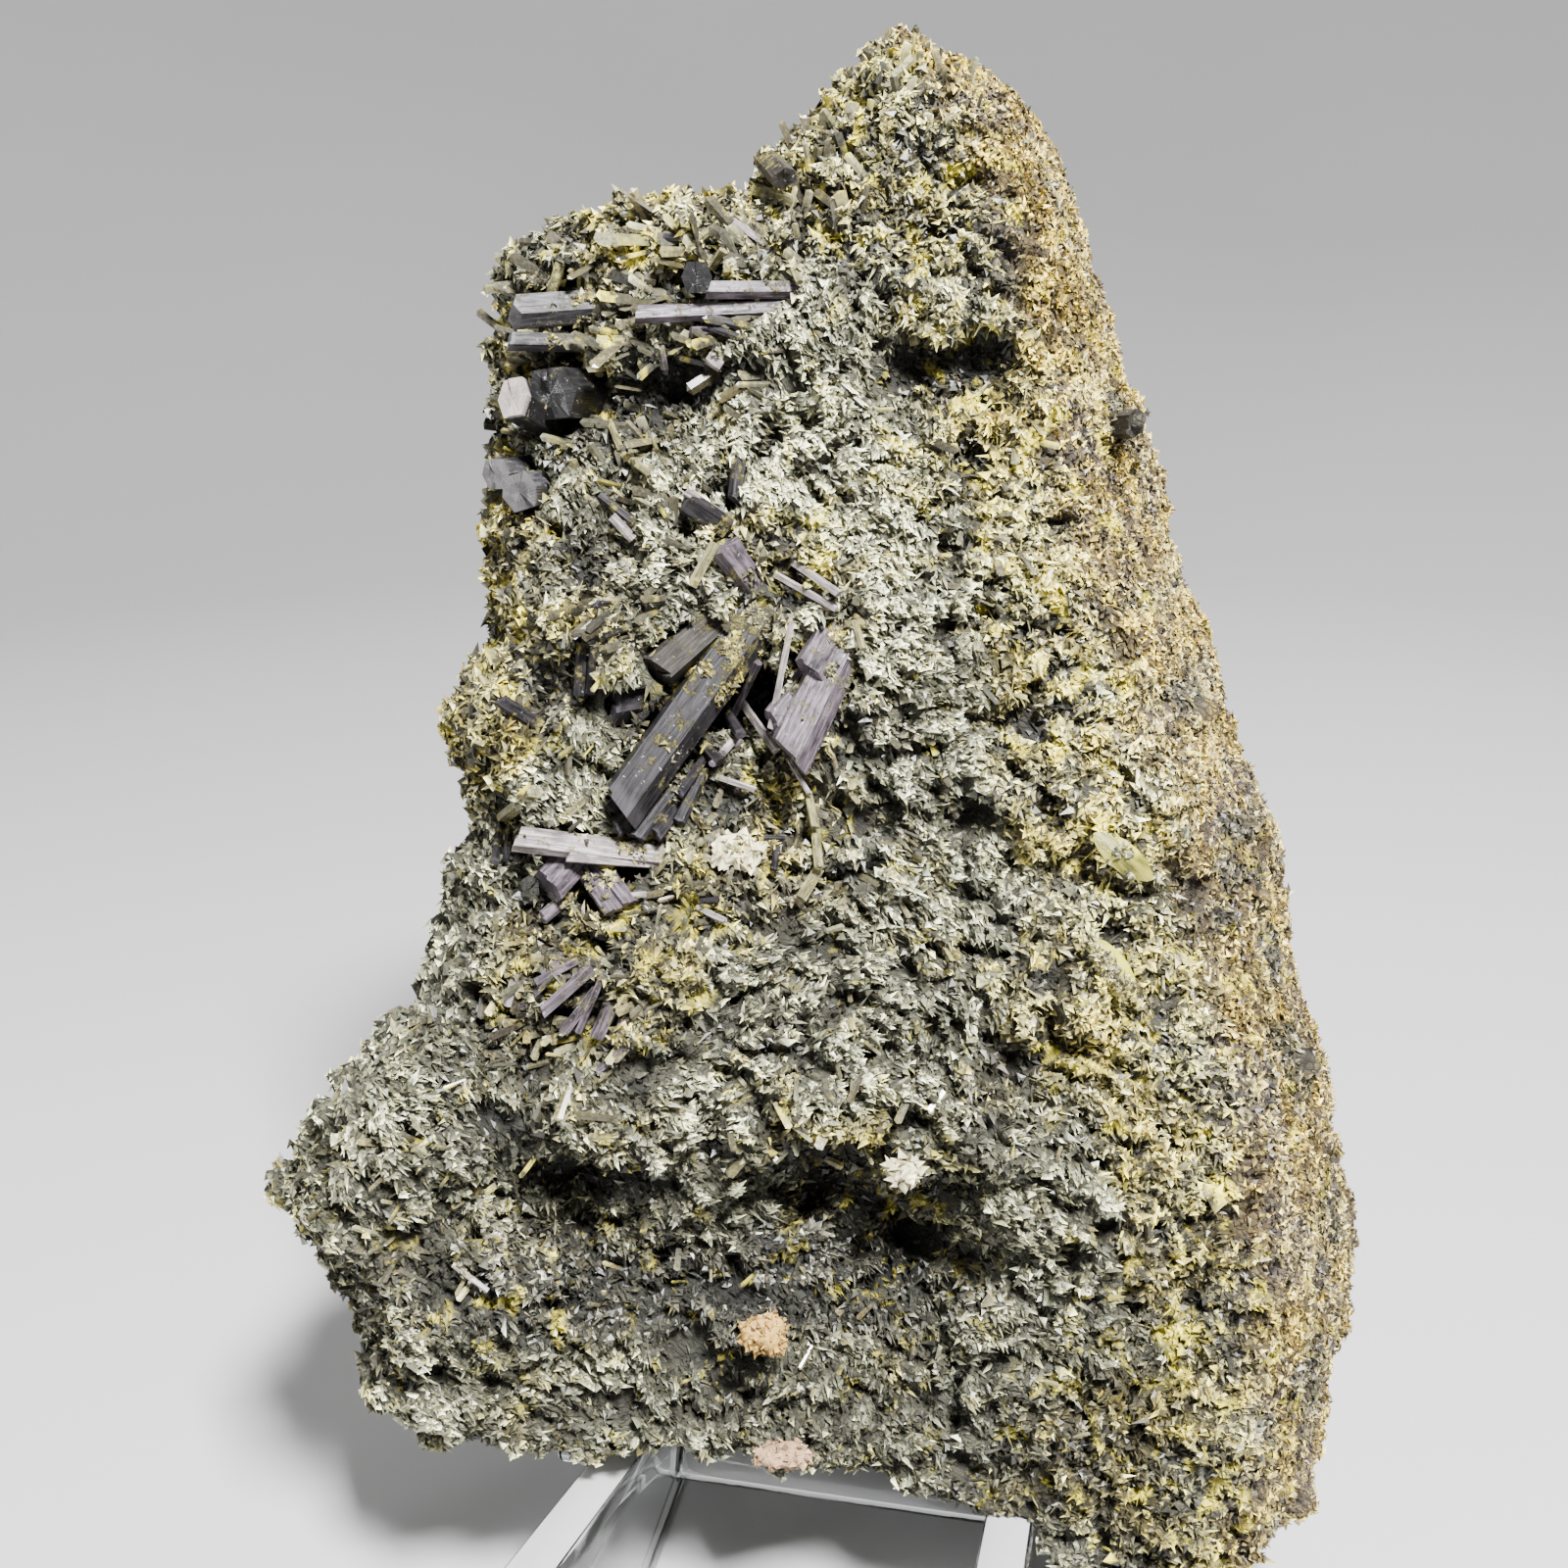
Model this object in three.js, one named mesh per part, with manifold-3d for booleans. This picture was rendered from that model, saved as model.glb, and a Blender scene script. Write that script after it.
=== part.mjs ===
// An epidote crystal cluster that leans on a clear display stand. Millimetres, +Z up.
// The stand's feet are on z = 0, and the specimen's front faces -Y.

import * as THREE from 'three';
import { mergeVertices } from 'three/addons/utils/BufferGeometryUtils.js';
import Module from 'manifold-3d';

const wasm = await Module();
wasm.setup();

// Where the specimen stands: it leans back, and its own frame has x to the right,
// y up along the lean and z out of the front.
const LEAN_DEGREES = 18;
const CENTRE_HEIGHT = 95.5;

// The front is laid out as it looks from this distance, so a point that lies
// deeper than z = 0 is moved out along its line of sight.
const VIEW_DISTANCE = 175;

// Clear space between two pieces that touch.
const GAP = 0.35;

// Matrix: grid that its skin is laid out on.
const FRONT_COLUMNS = 24;
const SIDE_COLUMNS = 3;
const BACK_COLUMNS = 8;
const LOWEST_LEVEL = -60;
const LEVEL_STEP = 4.7;
const TOP_LEVELS = [57.6, 59.5, 64.2, 68.8, 72.6, 75.6, 76.8];
const BOTTOM_ZONE = [1, 0.7, 0.35];

// Matrix: depths of its front, sides and back.
const LEFT_SIDE_DEPTH = -13;
const RIGHT_SIDE_DEPTH = -25;
const LEFT_ROUNDING = 9;
const BACK_DEPTH = -47;
const TOP_BACK_DEPTH = -26;
const UNDERSIDE = -75.4;
const UNDERSIDE_RINGS = [0.45, 0.18];
const UNDERSIDE_FALL = 3.2;
const BACK_INSET = 0.16;
const SIDE_SQUARENESS = 0.8;

// Matrix: crags.
const CRAG_CELL = 9;
const CRAG_HEIGHT = 2;
const FINE_CRAG_CELL = 4.6;
const FINE_CRAG_HEIGHT = 1.7;
const FLANK_SMOOTHNESS = 0.45;
const FLANK_CURVE = 1.4;

// Ledge: above this line the front overhangs, below it the front is set back.
const LEDGE_LINE = [
  [-34, -39.5], [-28, -38], [-21, -38.5], [-16, -40.5], [-10, -42], [-4, -39.5], [1, -38], [6, -39],
  [14, -42.5], [20, -44],
];
const LEDGE_DEPTH = 10;
const LEDGE_STEP = 2.6;
const LEDGE_FADE = 32;
const LEDGE_LEFT_END = [-42, -22];
const LEDGE_RIGHT_END = [10, 24];

// Stand.
const SHEET = 5;
const PLATE_SPACING = 43.4;
const STAND_TURN_DEGREES = 12;
const STAND_OFFSET_X = 5.45;
const SEAT_CORNER = [24, 7.6];
const SEAT_LENGTH = 79;
const BACK_REST_LENGTH = 92;
const BACK_REST_TOP = 9;
const FOOT_FRONT = -56;
const FOOT_BACK = 78;
const FOOT_HEIGHT = 5;
const NOSE_RADIUS = 4;
const ROD_RADIUS = 3;
const ROD_LENGTH = 69;
const ROD_SIDES = 16;
const FRONT_ROD_AT = [4.4, 6.6];
const BACK_ROD_AT = [60, 52];

// Outline of the matrix as seen from the front: [level, x].
const LEFT_OUTLINE = [
  [-60, -43.8], [-55, -43.5], [-51, -45], [-48, -46.5], [-44, -51], [-41.5, -51.7], [-38, -50.5],
  [-34, -48], [-30, -45.5], [-27, -42], [-24, -40], [-23, -37], [-17, -36.5], [-13, -35], [-9, -36.3],
  [-6.5, -33], [-4, -31], [1.5, -33.3], [5, -33.5], [10, -32], [14, -30], [18, -29.5], [24, -30.5],
  [31.5, -31.4], [36, -30], [45, -29], [51, -29.4], [54.6, -27], [56.4, -23], [58, -17], [59.2, -3],
  [64, -2.5], [66.5, 0], [69, 4], [72, 7], [75, 9], [77, 10.5],
];
const RIGHT_OUTLINE = [
  [-60, 56.3], [-55, 57.2], [-49, 58], [-44, 58.5], [-39, 57.5], [-33, 56], [-29, 55.2], [-25, 54.4],
  [-21, 52.5], [-10.5, 51.8], [-6, 51.2], [-3, 50], [2, 46.3], [6, 46.1], [10, 45], [14, 44], [21, 41],
  [28, 39], [33, 37.5], [38, 36], [41, 35], [47, 33], [55, 31.5], [59, 30], [63.5, 28], [67, 27],
  [69, 25], [72, 22], [74, 17.5], [75.5, 13.5], [77, 12.5],
];
// Lower edge: [x, y].
const LOWER_EDGE = [
  [-44, -62], [-39, -65], [-36, -68], [-33, -70], [-29, -70], [-26, -69], [-20, -66.6], [-3, -67.4],
  [2, -69.4], [10, -69], [13, -70], [16, -73.4], [21, -77.4], [26, -79.6], [35, -82.6], [42, -83.6],
  [47, -82], [50, -78], [53.5, -72], [57, -65],
];
// Ridge between the front and the right flank: [level, x].
const RIDGE = [[-82, 48], [-60, 50], [-30, 47], [0, 41], [20, 33.5], [50, 27], [65, 23], [77, 11.8]];
// Depth of the front between its lumps and hollows: [level, depth].
const FRONT_DEPTH = [
  [-82, -7], [-70, -3], [-60, 0], [-42, 4], [-20, 4], [0, 4], [20, 3], [40, 1], [60, -2], [77, -9],
];

// Broad lumps and hollows of the front: [x, y, reach across, reach up, height].
const LUMPS = [
  [12, 70, 7, 7, 2], [10, 50, 9, 7, 3], [4, 38, 8, 10, 4], [14, 12, 9, 13, 4], [-20, 18, 7, 7, 3],
  [-29, 6, 5, 8, 1.5], [-33, -12, 5, 5, 2], [-8, -18, 11, 7, 3], [0, -29, 10, 6, 4], [-42, -35, 9, 8, 3],
  [-18, -30, 6, 6, 2.5], [-28, -53, 10, 7, 3], [-9, -58, 9, 6, 2], [22, -36, 6, 7, 5], [33, -44, 7, 8, 5],
  [29, -60, 8, 7, 4], [44, -71, 7, 7, 3], [28, -22, 7, 7, 2.5], [26, 2, 7, 8, 2], [-14, 33, 5, 4, 2],
  [33.5, 20, 4, 6, 1.5], [41, -4, 4, 6, 1.5], [46, -33, 5, 7, 2], [-22, 55, 5, 4, 2], [-8, 56, 6, 3, 2],
];
const HOLLOWS = [
  [-3, 7, 6, 7, -6], [-20, 38, 7, 5, -5], [-10, 40, 4, 3, -4], [17, 43, 6, 4, -5], [18.5, 61.5, 4, 3, -3],
  [13, -46, 9, 7, -6], [-12, -42, 13, 3, -4], [-31, -46, 7, 3, -3], [-26, 42, 4, 5, -5], [18, 33, 3, 4, -3],
  [-22, -28, 3, 3, -3], [40, -56, 5, 5, -2], [8, 24, 5, 3, -1.5],
];

// Sharp pits: [x, y, depth of its middle, radius across, radius up, radius in].
const PITS = [
  [-10.6, 40, 0, 3.6, 2.2, 5], [-22.5, 41.5, -2, 4, 3.4, 5], [18.6, 61.7, 1, 3.2, 1.8, 4],
  [16, 44.5, 2, 5, 2, 5], [20.5, 40, 1, 3, 1.8, 4], [18.6, 34, 2, 1.6, 3, 4], [18, 24.4, 4, 2.6, 1.2, 3],
  [-4, 10.5, 0, 3.4, 3.4, 6], [-6.3, -1.8, 2, 2, 1.6, 4], [2.4, 19, 4, 2.8, 1.6, 3], [34, -15, 5, 2, 1.4, 3],
  [-22, -28, 3, 2, 2, 4], [-27, -23, 0, 1.8, 1.8, 4], [-22, -39.5, 1, 5, 1.3, 6], [-10, -41.6, 1, 5, 1.4, 6],
  [3, -39.6, 2, 6, 1.4, 6], [11, -42, 0, 5, 2.6, 6], [42, -37, 4, 3, 1.6, 3],
];

// Prisms: shares of half the width and of the thickness, and how far a pointed tip reaches.
const SHOULDER_SHARE = 0.62;
const GROOVE_SHARE = 0.06;
const POINT_SHARE = 0.8;

// Crystals are [from, to, width, thickness, roll, grooves, tip, tilt], with each end [x, y, z] as seen.
const CENTRE_PRISMS = [
  [[-1.5, 18.6, -1.5], [-16.5, -2.2, 4.6], 5.2, 4.6, 8, 2, 'break', 0.35],
  [[-2, 20.5, -3], [-12.8, 11.2, 3], 4, 4, -10, 1, 'break', -0.3],
  [[7.2, 16.6, 1], [0.6, 3, 5], 4.9, 4.2, 14, 2, 'break', 0.4],
  [[4.4, 17.8, -2.4], [-1.6, 6.2, 2], 3.2, 3, -8, 0, 'break', 0.2],
  [[-5.4, 10.2, 4.2], [0.6, 2.6, 6.4], 0.9, 0.7, 0, 0, 'point', 0],
  [[0.8, 16.6, 3.2], [-1.4, 5, 5.4], 0.7, 0.6, 20, 0, 'point', 0],
  [[2, 21, -3], [-5.2, 22.6, 3.6], 2, 1.8, 0, 0, 'break', 0.1],
  [[7, 19, -3], [-0.6, 20.6, 2.8], 2.4, 2, 15, 0, 'break', 0.2],
  [[-10.5, 0.8, 0.6], [-18.8, -4.8, 5], 2.2, 2.2, 10, 0, 'break', 0.3],
  [[-10.4, 0.4, -1], [-17, -5.4, 4.4], 1.6, 1.6, -15, 0, 'break', 0.3],
  [[-12, 8.8, -4], [-17.4, 9.8, 3.4], 7, 4.6, 6, 0, 'break', 0.1],
];
const CENTRE_ROOTS = [[-5, 9, -4.4, 11, 11, 5], [4, 16, -5, 8, 8, 5]];

const CROSS_PRISM = [
  [[-10.6, -7.6, 1], [-27.2, -5.6, 5.6], 2.6, 2.2, 10, 2, 'break', 0.2],
  [[-15.5, -10, -1], [-21.6, -9.8, 4], 4.4, 4.2, 0, 0, 'break', 0.15],
  [[-18, -13, -1], [-23.6, -12.2, 3], 2.6, 2.6, 20, 0, 'wedge', 0.4],
];
const CROSS_ROOTS = [[-16, -9, -2.4, 8, 5.4, 5.4]];

const UPPER_LEFT_BLOCKS = [
  [[-19.5, 48.7, -2], [-27.9, 48.1, 1.4], 3.5, 3.2, 12, 1, 'wedge', 0.5],
  [[-19.8, 45, -3], [-28, 45.2, 0.6], 2, 2.2, 0, 0, 'break', 0.2],
  [[-23.8, 53, -1], [-24.2, 47.6, 2.6], 0.9, 0.8, 0, 0, 'point', 0],
  [[-20.2, 53.6, -1.6], [-20.1, 41, 1.4], 1.1, 0.9, 10, 0, 'point', 0],
  [[-18.6, 46, -2.4], [-18.9, 40.6, 0.8], 1, 0.9, 30, 0, 'point', 0],
];
const UPPER_LEFT_ROOTS = [[-20, 48, -4.6, 7, 7.4, 4.4]];

const UPPER_LONG_PRISMS = [
  [[1.4, 48.6, -1], [-15, 47.9, 2.8], 1.9, 1.7, 0, 1, 'break', 0.2],
  [[4.2, 50.4, -1], [-7.8, 50.4, 2.6], 1.9, 1.7, 10, 0, 'break', 0.2],
  [[-2, 46.4, -2], [-9.6, 46.1, 1.4], 1.2, 1.1, 0, 0, 'wedge', 0.3],
  [[-8.9, 51.7, -6], [-8.9, 51.7, 4], 3.1, 3, 0, 0, 'break', 0.12],
];
const UPPER_LONG_ROOTS = [[-4.5, 49, -4.8, 9, 5, 4.8]];

const BARREL_CRYSTAL = [
  [[-21.4, 35.8, -9], [-27.6, 39.4, 2], 4, 3.8, 0, 0, 'break', 0.1],
];

const LEFT_HEX_CRYSTALS = [
  [[-24, 30, -9], [-27, 29.8, 2.4], 4, 3.6, 15, 0, 'break', 0.25],
  [[-26, 32.2, -9], [-29.4, 31.6, -0.6], 3.2, 3, 0, 0, 'break', 0.1],
];

const LENS_RIM_STEPS = 14;
const LENS_CRYSTALS = {
  lens_crystal_upper: [[34.6, -7.4, 7.2], 7.4, 3, 1.6, -38],
  lens_crystal_lower: [[33.6, -18.6, 8.6], 7, 2.8, 1.5, -52],
};

// Dark crystals that break through the right edge, and the lumps of other stone, part of the matrix.
const EDGE_CRYSTALS = [
  [[33, 36.4, -9], [37, 37, -2.5], 3.4, 3, 20, 0, 'break', 0.2],
  [[40, 8, -10], [44.2, 7.4, -3], 4, 3.4, -15, 0, 'wedge', 0.4],
  [[44, -6, -12], [49.2, -6.2, -6], 5, 4.4, 10, 0, 'break', 0.25],
  [[46.5, -12, -8], [50, -11.4, -4], 3.4, 3, 35, 0, 'break', 0.25],
  [[49, -28, -16], [53.8, -28.6, -8], 4.8, 4, 0, 0, 'break', 0.2],
  [[47, -74, -14], [53.4, -72, -12], 8, 3.4, 80, 0, 'break', 0.15],
  [[-2, 64, -4], [0.5, 61.5, 3.4], 3, 2.2, 20, 0, 'break', 0.2],
];
const LUMP_UNEVENNESS = 0.16;
const LUMP_CELL = 0.9;
const STONE_LUMPS = [
  [-4.7, -7.2, 5, 2.5, 2.3, 1.6], [-1.4, -56.4, 1, 2.5, 2.4, 1.7], [0.2, -68.6, -3.5, 3, 1.7, 2.4],
  [12.4, -40, 5.6, 1.6, 1.4, 1.5],
];

// Larger single blades that stand out of the matrix: [from, to, width], each end [x, y, z].
const NAMED_BLADES = [
  [[-10.6, 29, 0], [-6.2, 26.6, 5.4], 1.5], [[-18.4, 28.4, 0], [-15.6, 25, 4.4], 1],
  [[-16, 58, -6], [-17.6, 61, -1], 2.6], [[-9.4, 56.4, -5], [-7.2, 60.2, -1], 2.2],
  [[-4.4, 56, -5], [-6.4, 60, -0.5], 2], [[-1, 58.4, -6], [-5.8, 60.6, -2], 1.8],
  [[-2.6, 54.4, -3], [-7.6, 56.6, 2], 1.8], [[-1, 51.4, -3], [-4.4, 54.8, 2.4], 1.8],
  [[3, 62, -4], [0.4, 66.4, 0.6], 2], [[6.4, 66, -5], [4.6, 71.6, -1], 1.8],
  [[10, 70, -8], [9.6, 76.8, -4], 2.2], [[17, 68, -8], [18.4, 74.6, -5], 2.2],
  [[-27, 6, -2], [-24.4, 8.6, 4], 1.6], [[-31, -6, -6], [-35.4, -9, -3], 2],
  [[-23, -14, 1], [-27, -10.4, 5.6], 1.5], [[-19, -15, 1], [-16.6, -10.4, 6], 1.6],
  [[-20.6, -20.4, 1], [-24.4, -16.6, 6], 1.6], [[-16.8, -19.4, 2], [-18.8, -23.8, 7], 1.8],
  [[1.8, -10, 3], [4.4, -5.4, 7], 1.2], [[30, -11, 4], [27.6, -14.6, 8.4], 1.5],
  [[11, -31.5, 4], [9.6, -36.8, 8.6], 2.4], [[7, -35, 5], [3.4, -37.4, 9], 2.2],
  [[-47, -36, -14], [-52.4, -39.4, -11], 2.4], [[-40, -25, -12], [-42.6, -29, -6], 2],
  [[-33, -50, -4], [-30.4, -52.4, 2], 1.3], [[33, -58, 2], [33.4, -62, 7], 2],
  [[45.6, -60, -2], [49.6, -57, 2], 2], [[-45, -49, -14], [-47.6, -46.6, -9], 2.4],
];
// Smaller blades in drifts: [x, y, reach across, reach up, direction in degrees, how many].
const BLADE_DRIFTS = [
  [9, 34, 9, 10, 115, 2], [17, 8, 9, 14, 125, 3], [24, -8, 7, 12, 60, 2], [-18, 20, 8, 6, 40, 2],
  [-6, -22, 12, 6, 200, 2], [22, -36, 8, 8, 300, 2], [-40, -34, 7, 6, 220, 2], [-22, -52, 12, 7, 190, 2],
  [34, -54, 9, 9, 80, 2],
];
const DRIFT_BLADE_LENGTH = 4.6;
const DRIFT_BLADE_WIDTH = 1.7;
const BLADE_THINNESS = 0.6;
const BLADE_SHOULDER = 0.75;

// Finishes.
const COLOURS = {
  matrix: 0x8c8a6c,
  darkPrism: 0x3a3836,
  palePrism: 0x8d8782,
  hexEnd: 0x6f6a68,
  lens: 0x8b9142,
  acrylic: 0xe6ecee,
};

// Small helpers

function seededRandom(seed) {
  let state = seed;
  return () => {
    state = (state * 1664525 + 1013904223) % 4294967296;
    return state / 4294967296;
  };
}

// Straight-line interpolation in a list of [at, value].
function along(list, at) {
  const last = list.length - 1;
  if (at <= list[0][0]) return list[0][1];
  if (at >= list[last][0]) return list[last][1];
  const next = list.findIndex((point) => point[0] >= at);
  const [fromAt, fromValue] = list[next - 1];
  const [toAt, toValue] = list[next];
  return THREE.MathUtils.mapLinear(at, fromAt, toAt, fromValue, toValue);
}

// A point of the specimen that looks to be at x, y from the front and lies at depth z.
function seen(x, y, z) {
  const scale = (VIEW_DISTANCE - z) / VIEW_DISTANCE;
  return new THREE.Vector3(x * scale, y * scale, z);
}

function latticeValue(i, j, k) {
  const wave = Math.sin(i * 127.1 + j * 311.7 + k * 74.7) * 43758.5453;
  return wave - Math.floor(wave);
}

// Smooth noise between -1 and 1 with one value for each cell corner.
function smoothNoise(point, cell) {
  const at = point.clone().divideScalar(cell);
  const corner = at.clone().floor();
  const part = at.clone().sub(corner);
  const ease = (t) => t * t * (3 - 2 * t);
  const across = (j, k) => THREE.MathUtils.lerp(
    latticeValue(corner.x, corner.y + j, corner.z + k),
    latticeValue(corner.x + 1, corner.y + j, corner.z + k),
    ease(part.x),
  );
  const up = (k) => THREE.MathUtils.lerp(across(0, k), across(1, k), ease(part.y));
  return 2 * THREE.MathUtils.lerp(up(0), up(1), ease(part.z)) - 1;
}

function indexedGeometry(points, triangles) {
  const geometry = new THREE.BufferGeometry();
  const places = points.flatMap((p) => [p.x, p.y, p.z]);
  geometry.setAttribute('position', new THREE.Float32BufferAttribute(places, 3));
  geometry.setIndex(triangles.flat());
  return geometry;
}

// Solids, joins and cuts

function solid(geometry) {
  const bare = geometry.clone();
  bare.deleteAttribute('normal');
  bare.deleteAttribute('uv');
  const merged = mergeVertices(bare, 1e-4);
  const vertProperties = new Float32Array(merged.attributes.position.array);
  const triVerts = new Uint32Array(merged.index.array);
  return new wasm.Manifold(new wasm.Mesh({ numProp: 3, vertProperties, triVerts }));
}

function join(geometries) {
  return geometries.map(solid).reduce((whole, next) => whole.add(next));
}

// The biggest body of a cut solid: crumbs that a cut sets loose fall away.
function biggestBody(cut) {
  return cut.decompose().sort((a, b) => b.volume() - a.volume())[0];
}

function geometryOf(manifold) {
  const mesh = manifold.getMesh();
  const geometry = new THREE.BufferGeometry();
  geometry.setAttribute('position', new THREE.Float32BufferAttribute(mesh.vertProperties, 3));
  geometry.setIndex(Array.from(mesh.triVerts));
  return geometry;
}

// Front of the matrix

function bell(x, y, [centreX, centreY, reachX, reachY, height]) {
  const far = ((x - centreX) / reachX) ** 2 + ((y - centreY) / reachY) ** 2;
  return height * Math.exp(-far);
}

function ledgeSetback(x, y) {
  const below = along(LEDGE_LINE, x) - y;
  const step = THREE.MathUtils.smoothstep(below, 0, LEDGE_STEP);
  const fade = Math.max(0, 1 - Math.max(0, below) / LEDGE_FADE);
  const leftEnd = THREE.MathUtils.smoothstep(x, ...LEDGE_LEFT_END);
  const rightEnd = 1 - THREE.MathUtils.smoothstep(x, ...LEDGE_RIGHT_END);
  return -LEDGE_DEPTH * step * fade * leftEnd * rightEnd;
}

function frontDepth(x, y) {
  const bumps = [...LUMPS, ...HOLLOWS].reduce((sum, bump) => sum + bell(x, y, bump), 0);
  return along(FRONT_DEPTH, y) + bumps + ledgeSetback(x, y);
}

// Depth of the whole front skin, rounded over to the left side and falling back along the right flank.
function skinDepth(x, y, left, right) {
  const ridge = Math.min(along(RIDGE, y), right - 1);
  const roundLeft = THREE.MathUtils.clamp((x - left) / LEFT_ROUNDING, 0, 1);
  const flank = THREE.MathUtils.clamp((x - ridge) / (right - ridge), 0, 1);
  const front = frontDepth(Math.min(x, ridge), y);
  const rounded = LEFT_SIDE_DEPTH + (front - LEFT_SIDE_DEPTH) * Math.sqrt(1 - (1 - roundLeft) ** 2);
  return THREE.MathUtils.lerp(rounded, RIGHT_SIDE_DEPTH, flank ** FLANK_CURVE);
}

// One closed loop of points round the matrix: front from left to right, then back from right to left.
function ring(level, drop) {
  const left = along(LEFT_OUTLINE, level);
  const right = along(RIGHT_OUTLINE, level);
  const height = (x) => level + drop * (along(LOWER_EDGE, x) - LOWEST_LEVEL);
  const top = THREE.MathUtils.smoothstep(level, 35, TOP_LEVELS.at(-1));
  const backDepth = THREE.MathUtils.lerp(BACK_DEPTH, TOP_BACK_DEPTH, top);
  const points = [];
  for (let column = 0; column <= FRONT_COLUMNS; column++) {
    const x = THREE.MathUtils.lerp(left, right, column / FRONT_COLUMNS);
    const y = height(x);
    points.push(seen(x, y, skinDepth(x, y, left, right)));
  }
  const turned = (edge, sideDepth, share, backEdge) => {
    const angle = share * Math.PI / 2;
    const x = THREE.MathUtils.lerp(backEdge, edge, Math.cos(angle) ** SIDE_SQUARENESS);
    const z = THREE.MathUtils.lerp(sideDepth, backDepth, Math.sin(angle) ** SIDE_SQUARENESS);
    const side = seen(x, height(edge), sideDepth);
    return new THREE.Vector3(side.x, THREE.MathUtils.lerp(side.y, UNDERSIDE, share * drop), z);
  };
  const backInset = BACK_INSET * (right - left);
  const backRight = right - backInset;
  const backLeft = left + backInset;
  for (let step = 1; step < SIDE_COLUMNS; step++) {
    points.push(turned(right, RIGHT_SIDE_DEPTH, step / SIDE_COLUMNS, backRight));
  }
  for (let column = 0; column <= BACK_COLUMNS; column++) {
    const x = THREE.MathUtils.lerp(backRight, backLeft, column / BACK_COLUMNS);
    const nearest = column < BACK_COLUMNS / 2 ? right : left;
    const flatY = THREE.MathUtils.lerp(seen(0, height(x), RIGHT_SIDE_DEPTH).y, UNDERSIDE, drop);
    const edgeY = THREE.MathUtils.lerp(seen(0, height(nearest), LEFT_SIDE_DEPTH).y, UNDERSIDE, drop);
    points.push(new THREE.Vector3(seen(x, 0, LEFT_SIDE_DEPTH).x, (flatY + edgeY) / 2, backDepth));
  }
  for (let step = SIDE_COLUMNS - 1; step > 0; step--) {
    points.push(turned(left, LEFT_SIDE_DEPTH, step / SIDE_COLUMNS, backLeft));
  }
  return points;
}

// A ring of the underside: the lowest ring drawn in towards its middle. Near the front it
// keeps behind the lower edge, so that none of it is seen below that edge.
function undersideRing(lowest, share) {
  const middle = lowest.reduce((sum, p) => sum.add(p), new THREE.Vector3()).divideScalar(lowest.length);
  return lowest.map((p) => {
    const point = p.clone().lerp(middle, share);
    const scale = (VIEW_DISTANCE - point.z) / VIEW_DISTANCE;
    const hidden = Math.max(UNDERSIDE, along(LOWER_EDGE, point.x / scale) * scale);
    point.y = THREE.MathUtils.lerp(p.y, hidden, Math.min(1, share * UNDERSIDE_FALL));
    return point;
  });
}

function matrixRings() {
  const bottomZone = BOTTOM_ZONE.map((drop) => ring(LOWEST_LEVEL, drop));
  const levels = [];
  for (let level = LOWEST_LEVEL; level < TOP_LEVELS[0] - LEVEL_STEP / 2; level += LEVEL_STEP) {
    levels.push(level);
  }
  const underside = UNDERSIDE_RINGS.map((share) => undersideRing(bottomZone[0], share));
  return [...underside, ...bottomZone, ...[...levels, ...TOP_LEVELS].map((level) => ring(level, 0))];
}

function matrixSkin() {
  const rings = matrixRings();
  const count = rings[0].length;
  const smooth = rings.flat();
  const at = (row, column) => row * count + ((column + count) % count);
  const triangles = [];
  for (let row = 0; row + 1 < rings.length; row++) {
    for (let column = 0; column < count; column++) {
      const corners = [at(row, column), at(row, column + 1), at(row + 1, column + 1), at(row + 1, column)];
      const even = (row + column) % 2 === 0;
      triangles.push(even ? [corners[0], corners[1], corners[2]] : [corners[0], corners[1], corners[3]]);
      triangles.push(even ? [corners[0], corners[2], corners[3]] : [corners[1], corners[2], corners[3]]);
    }
  }
  const cap = (row, upwards) => {
    const contour = rings[row].map((p) => new THREE.Vector2(p.x, p.z));
    THREE.ShapeUtils.triangulateShape(contour, []).forEach(([a, b, c]) => {
      triangles.push(upwards ? [at(row, a), at(row, c), at(row, b)] : [at(row, a), at(row, b), at(row, c)]);
    });
  };
  cap(0, false);
  cap(rings.length - 1, true);

  const skin = indexedGeometry(smooth, triangles);
  skin.computeVertexNormals();
  const normals = skin.attributes.normal;
  const craggy = smooth.map((point, index) => {
    const normal = new THREE.Vector3().fromBufferAttribute(normals, index);
    const flank = THREE.MathUtils.smoothstep(point.x, along(RIDGE, point.y) - 2, along(RIDGE, point.y) + 3);
    const strength = THREE.MathUtils.lerp(1, FLANK_SMOOTHNESS, flank);
    const crag = CRAG_HEIGHT * smoothNoise(point, CRAG_CELL);
    const fineCrag = FINE_CRAG_HEIGHT * smoothNoise(point, FINE_CRAG_CELL);
    return point.clone().addScaledVector(normal, strength * (crag + fineCrag));
  });
  return indexedGeometry(craggy, triangles);
}

// Crystals and lumps

// Outline across a prism: six-sided, with grooves along its two broad faces.
function prismSection(width, thickness, grooves) {
  const points = [];
  const half = width / 2;
  const shoulder = SHOULDER_SHARE * half;
  const count = grooves * 2 + 1;
  const face = (side) => {
    for (let step = 0; step <= count; step++) {
      const grooved = step % 2 === 1 && step < count;
      const inset = grooves && grooved ? GROOVE_SHARE * thickness : 0;
      const x = THREE.MathUtils.lerp(side * shoulder, -side * shoulder, step / count);
      points.push(new THREE.Vector2(x, side * (thickness / 2 - inset)));
    }
  };
  points.push(new THREE.Vector2(half, 0));
  face(1);
  points.push(new THREE.Vector2(-half, 0));
  face(-1);
  return points;
}

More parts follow.
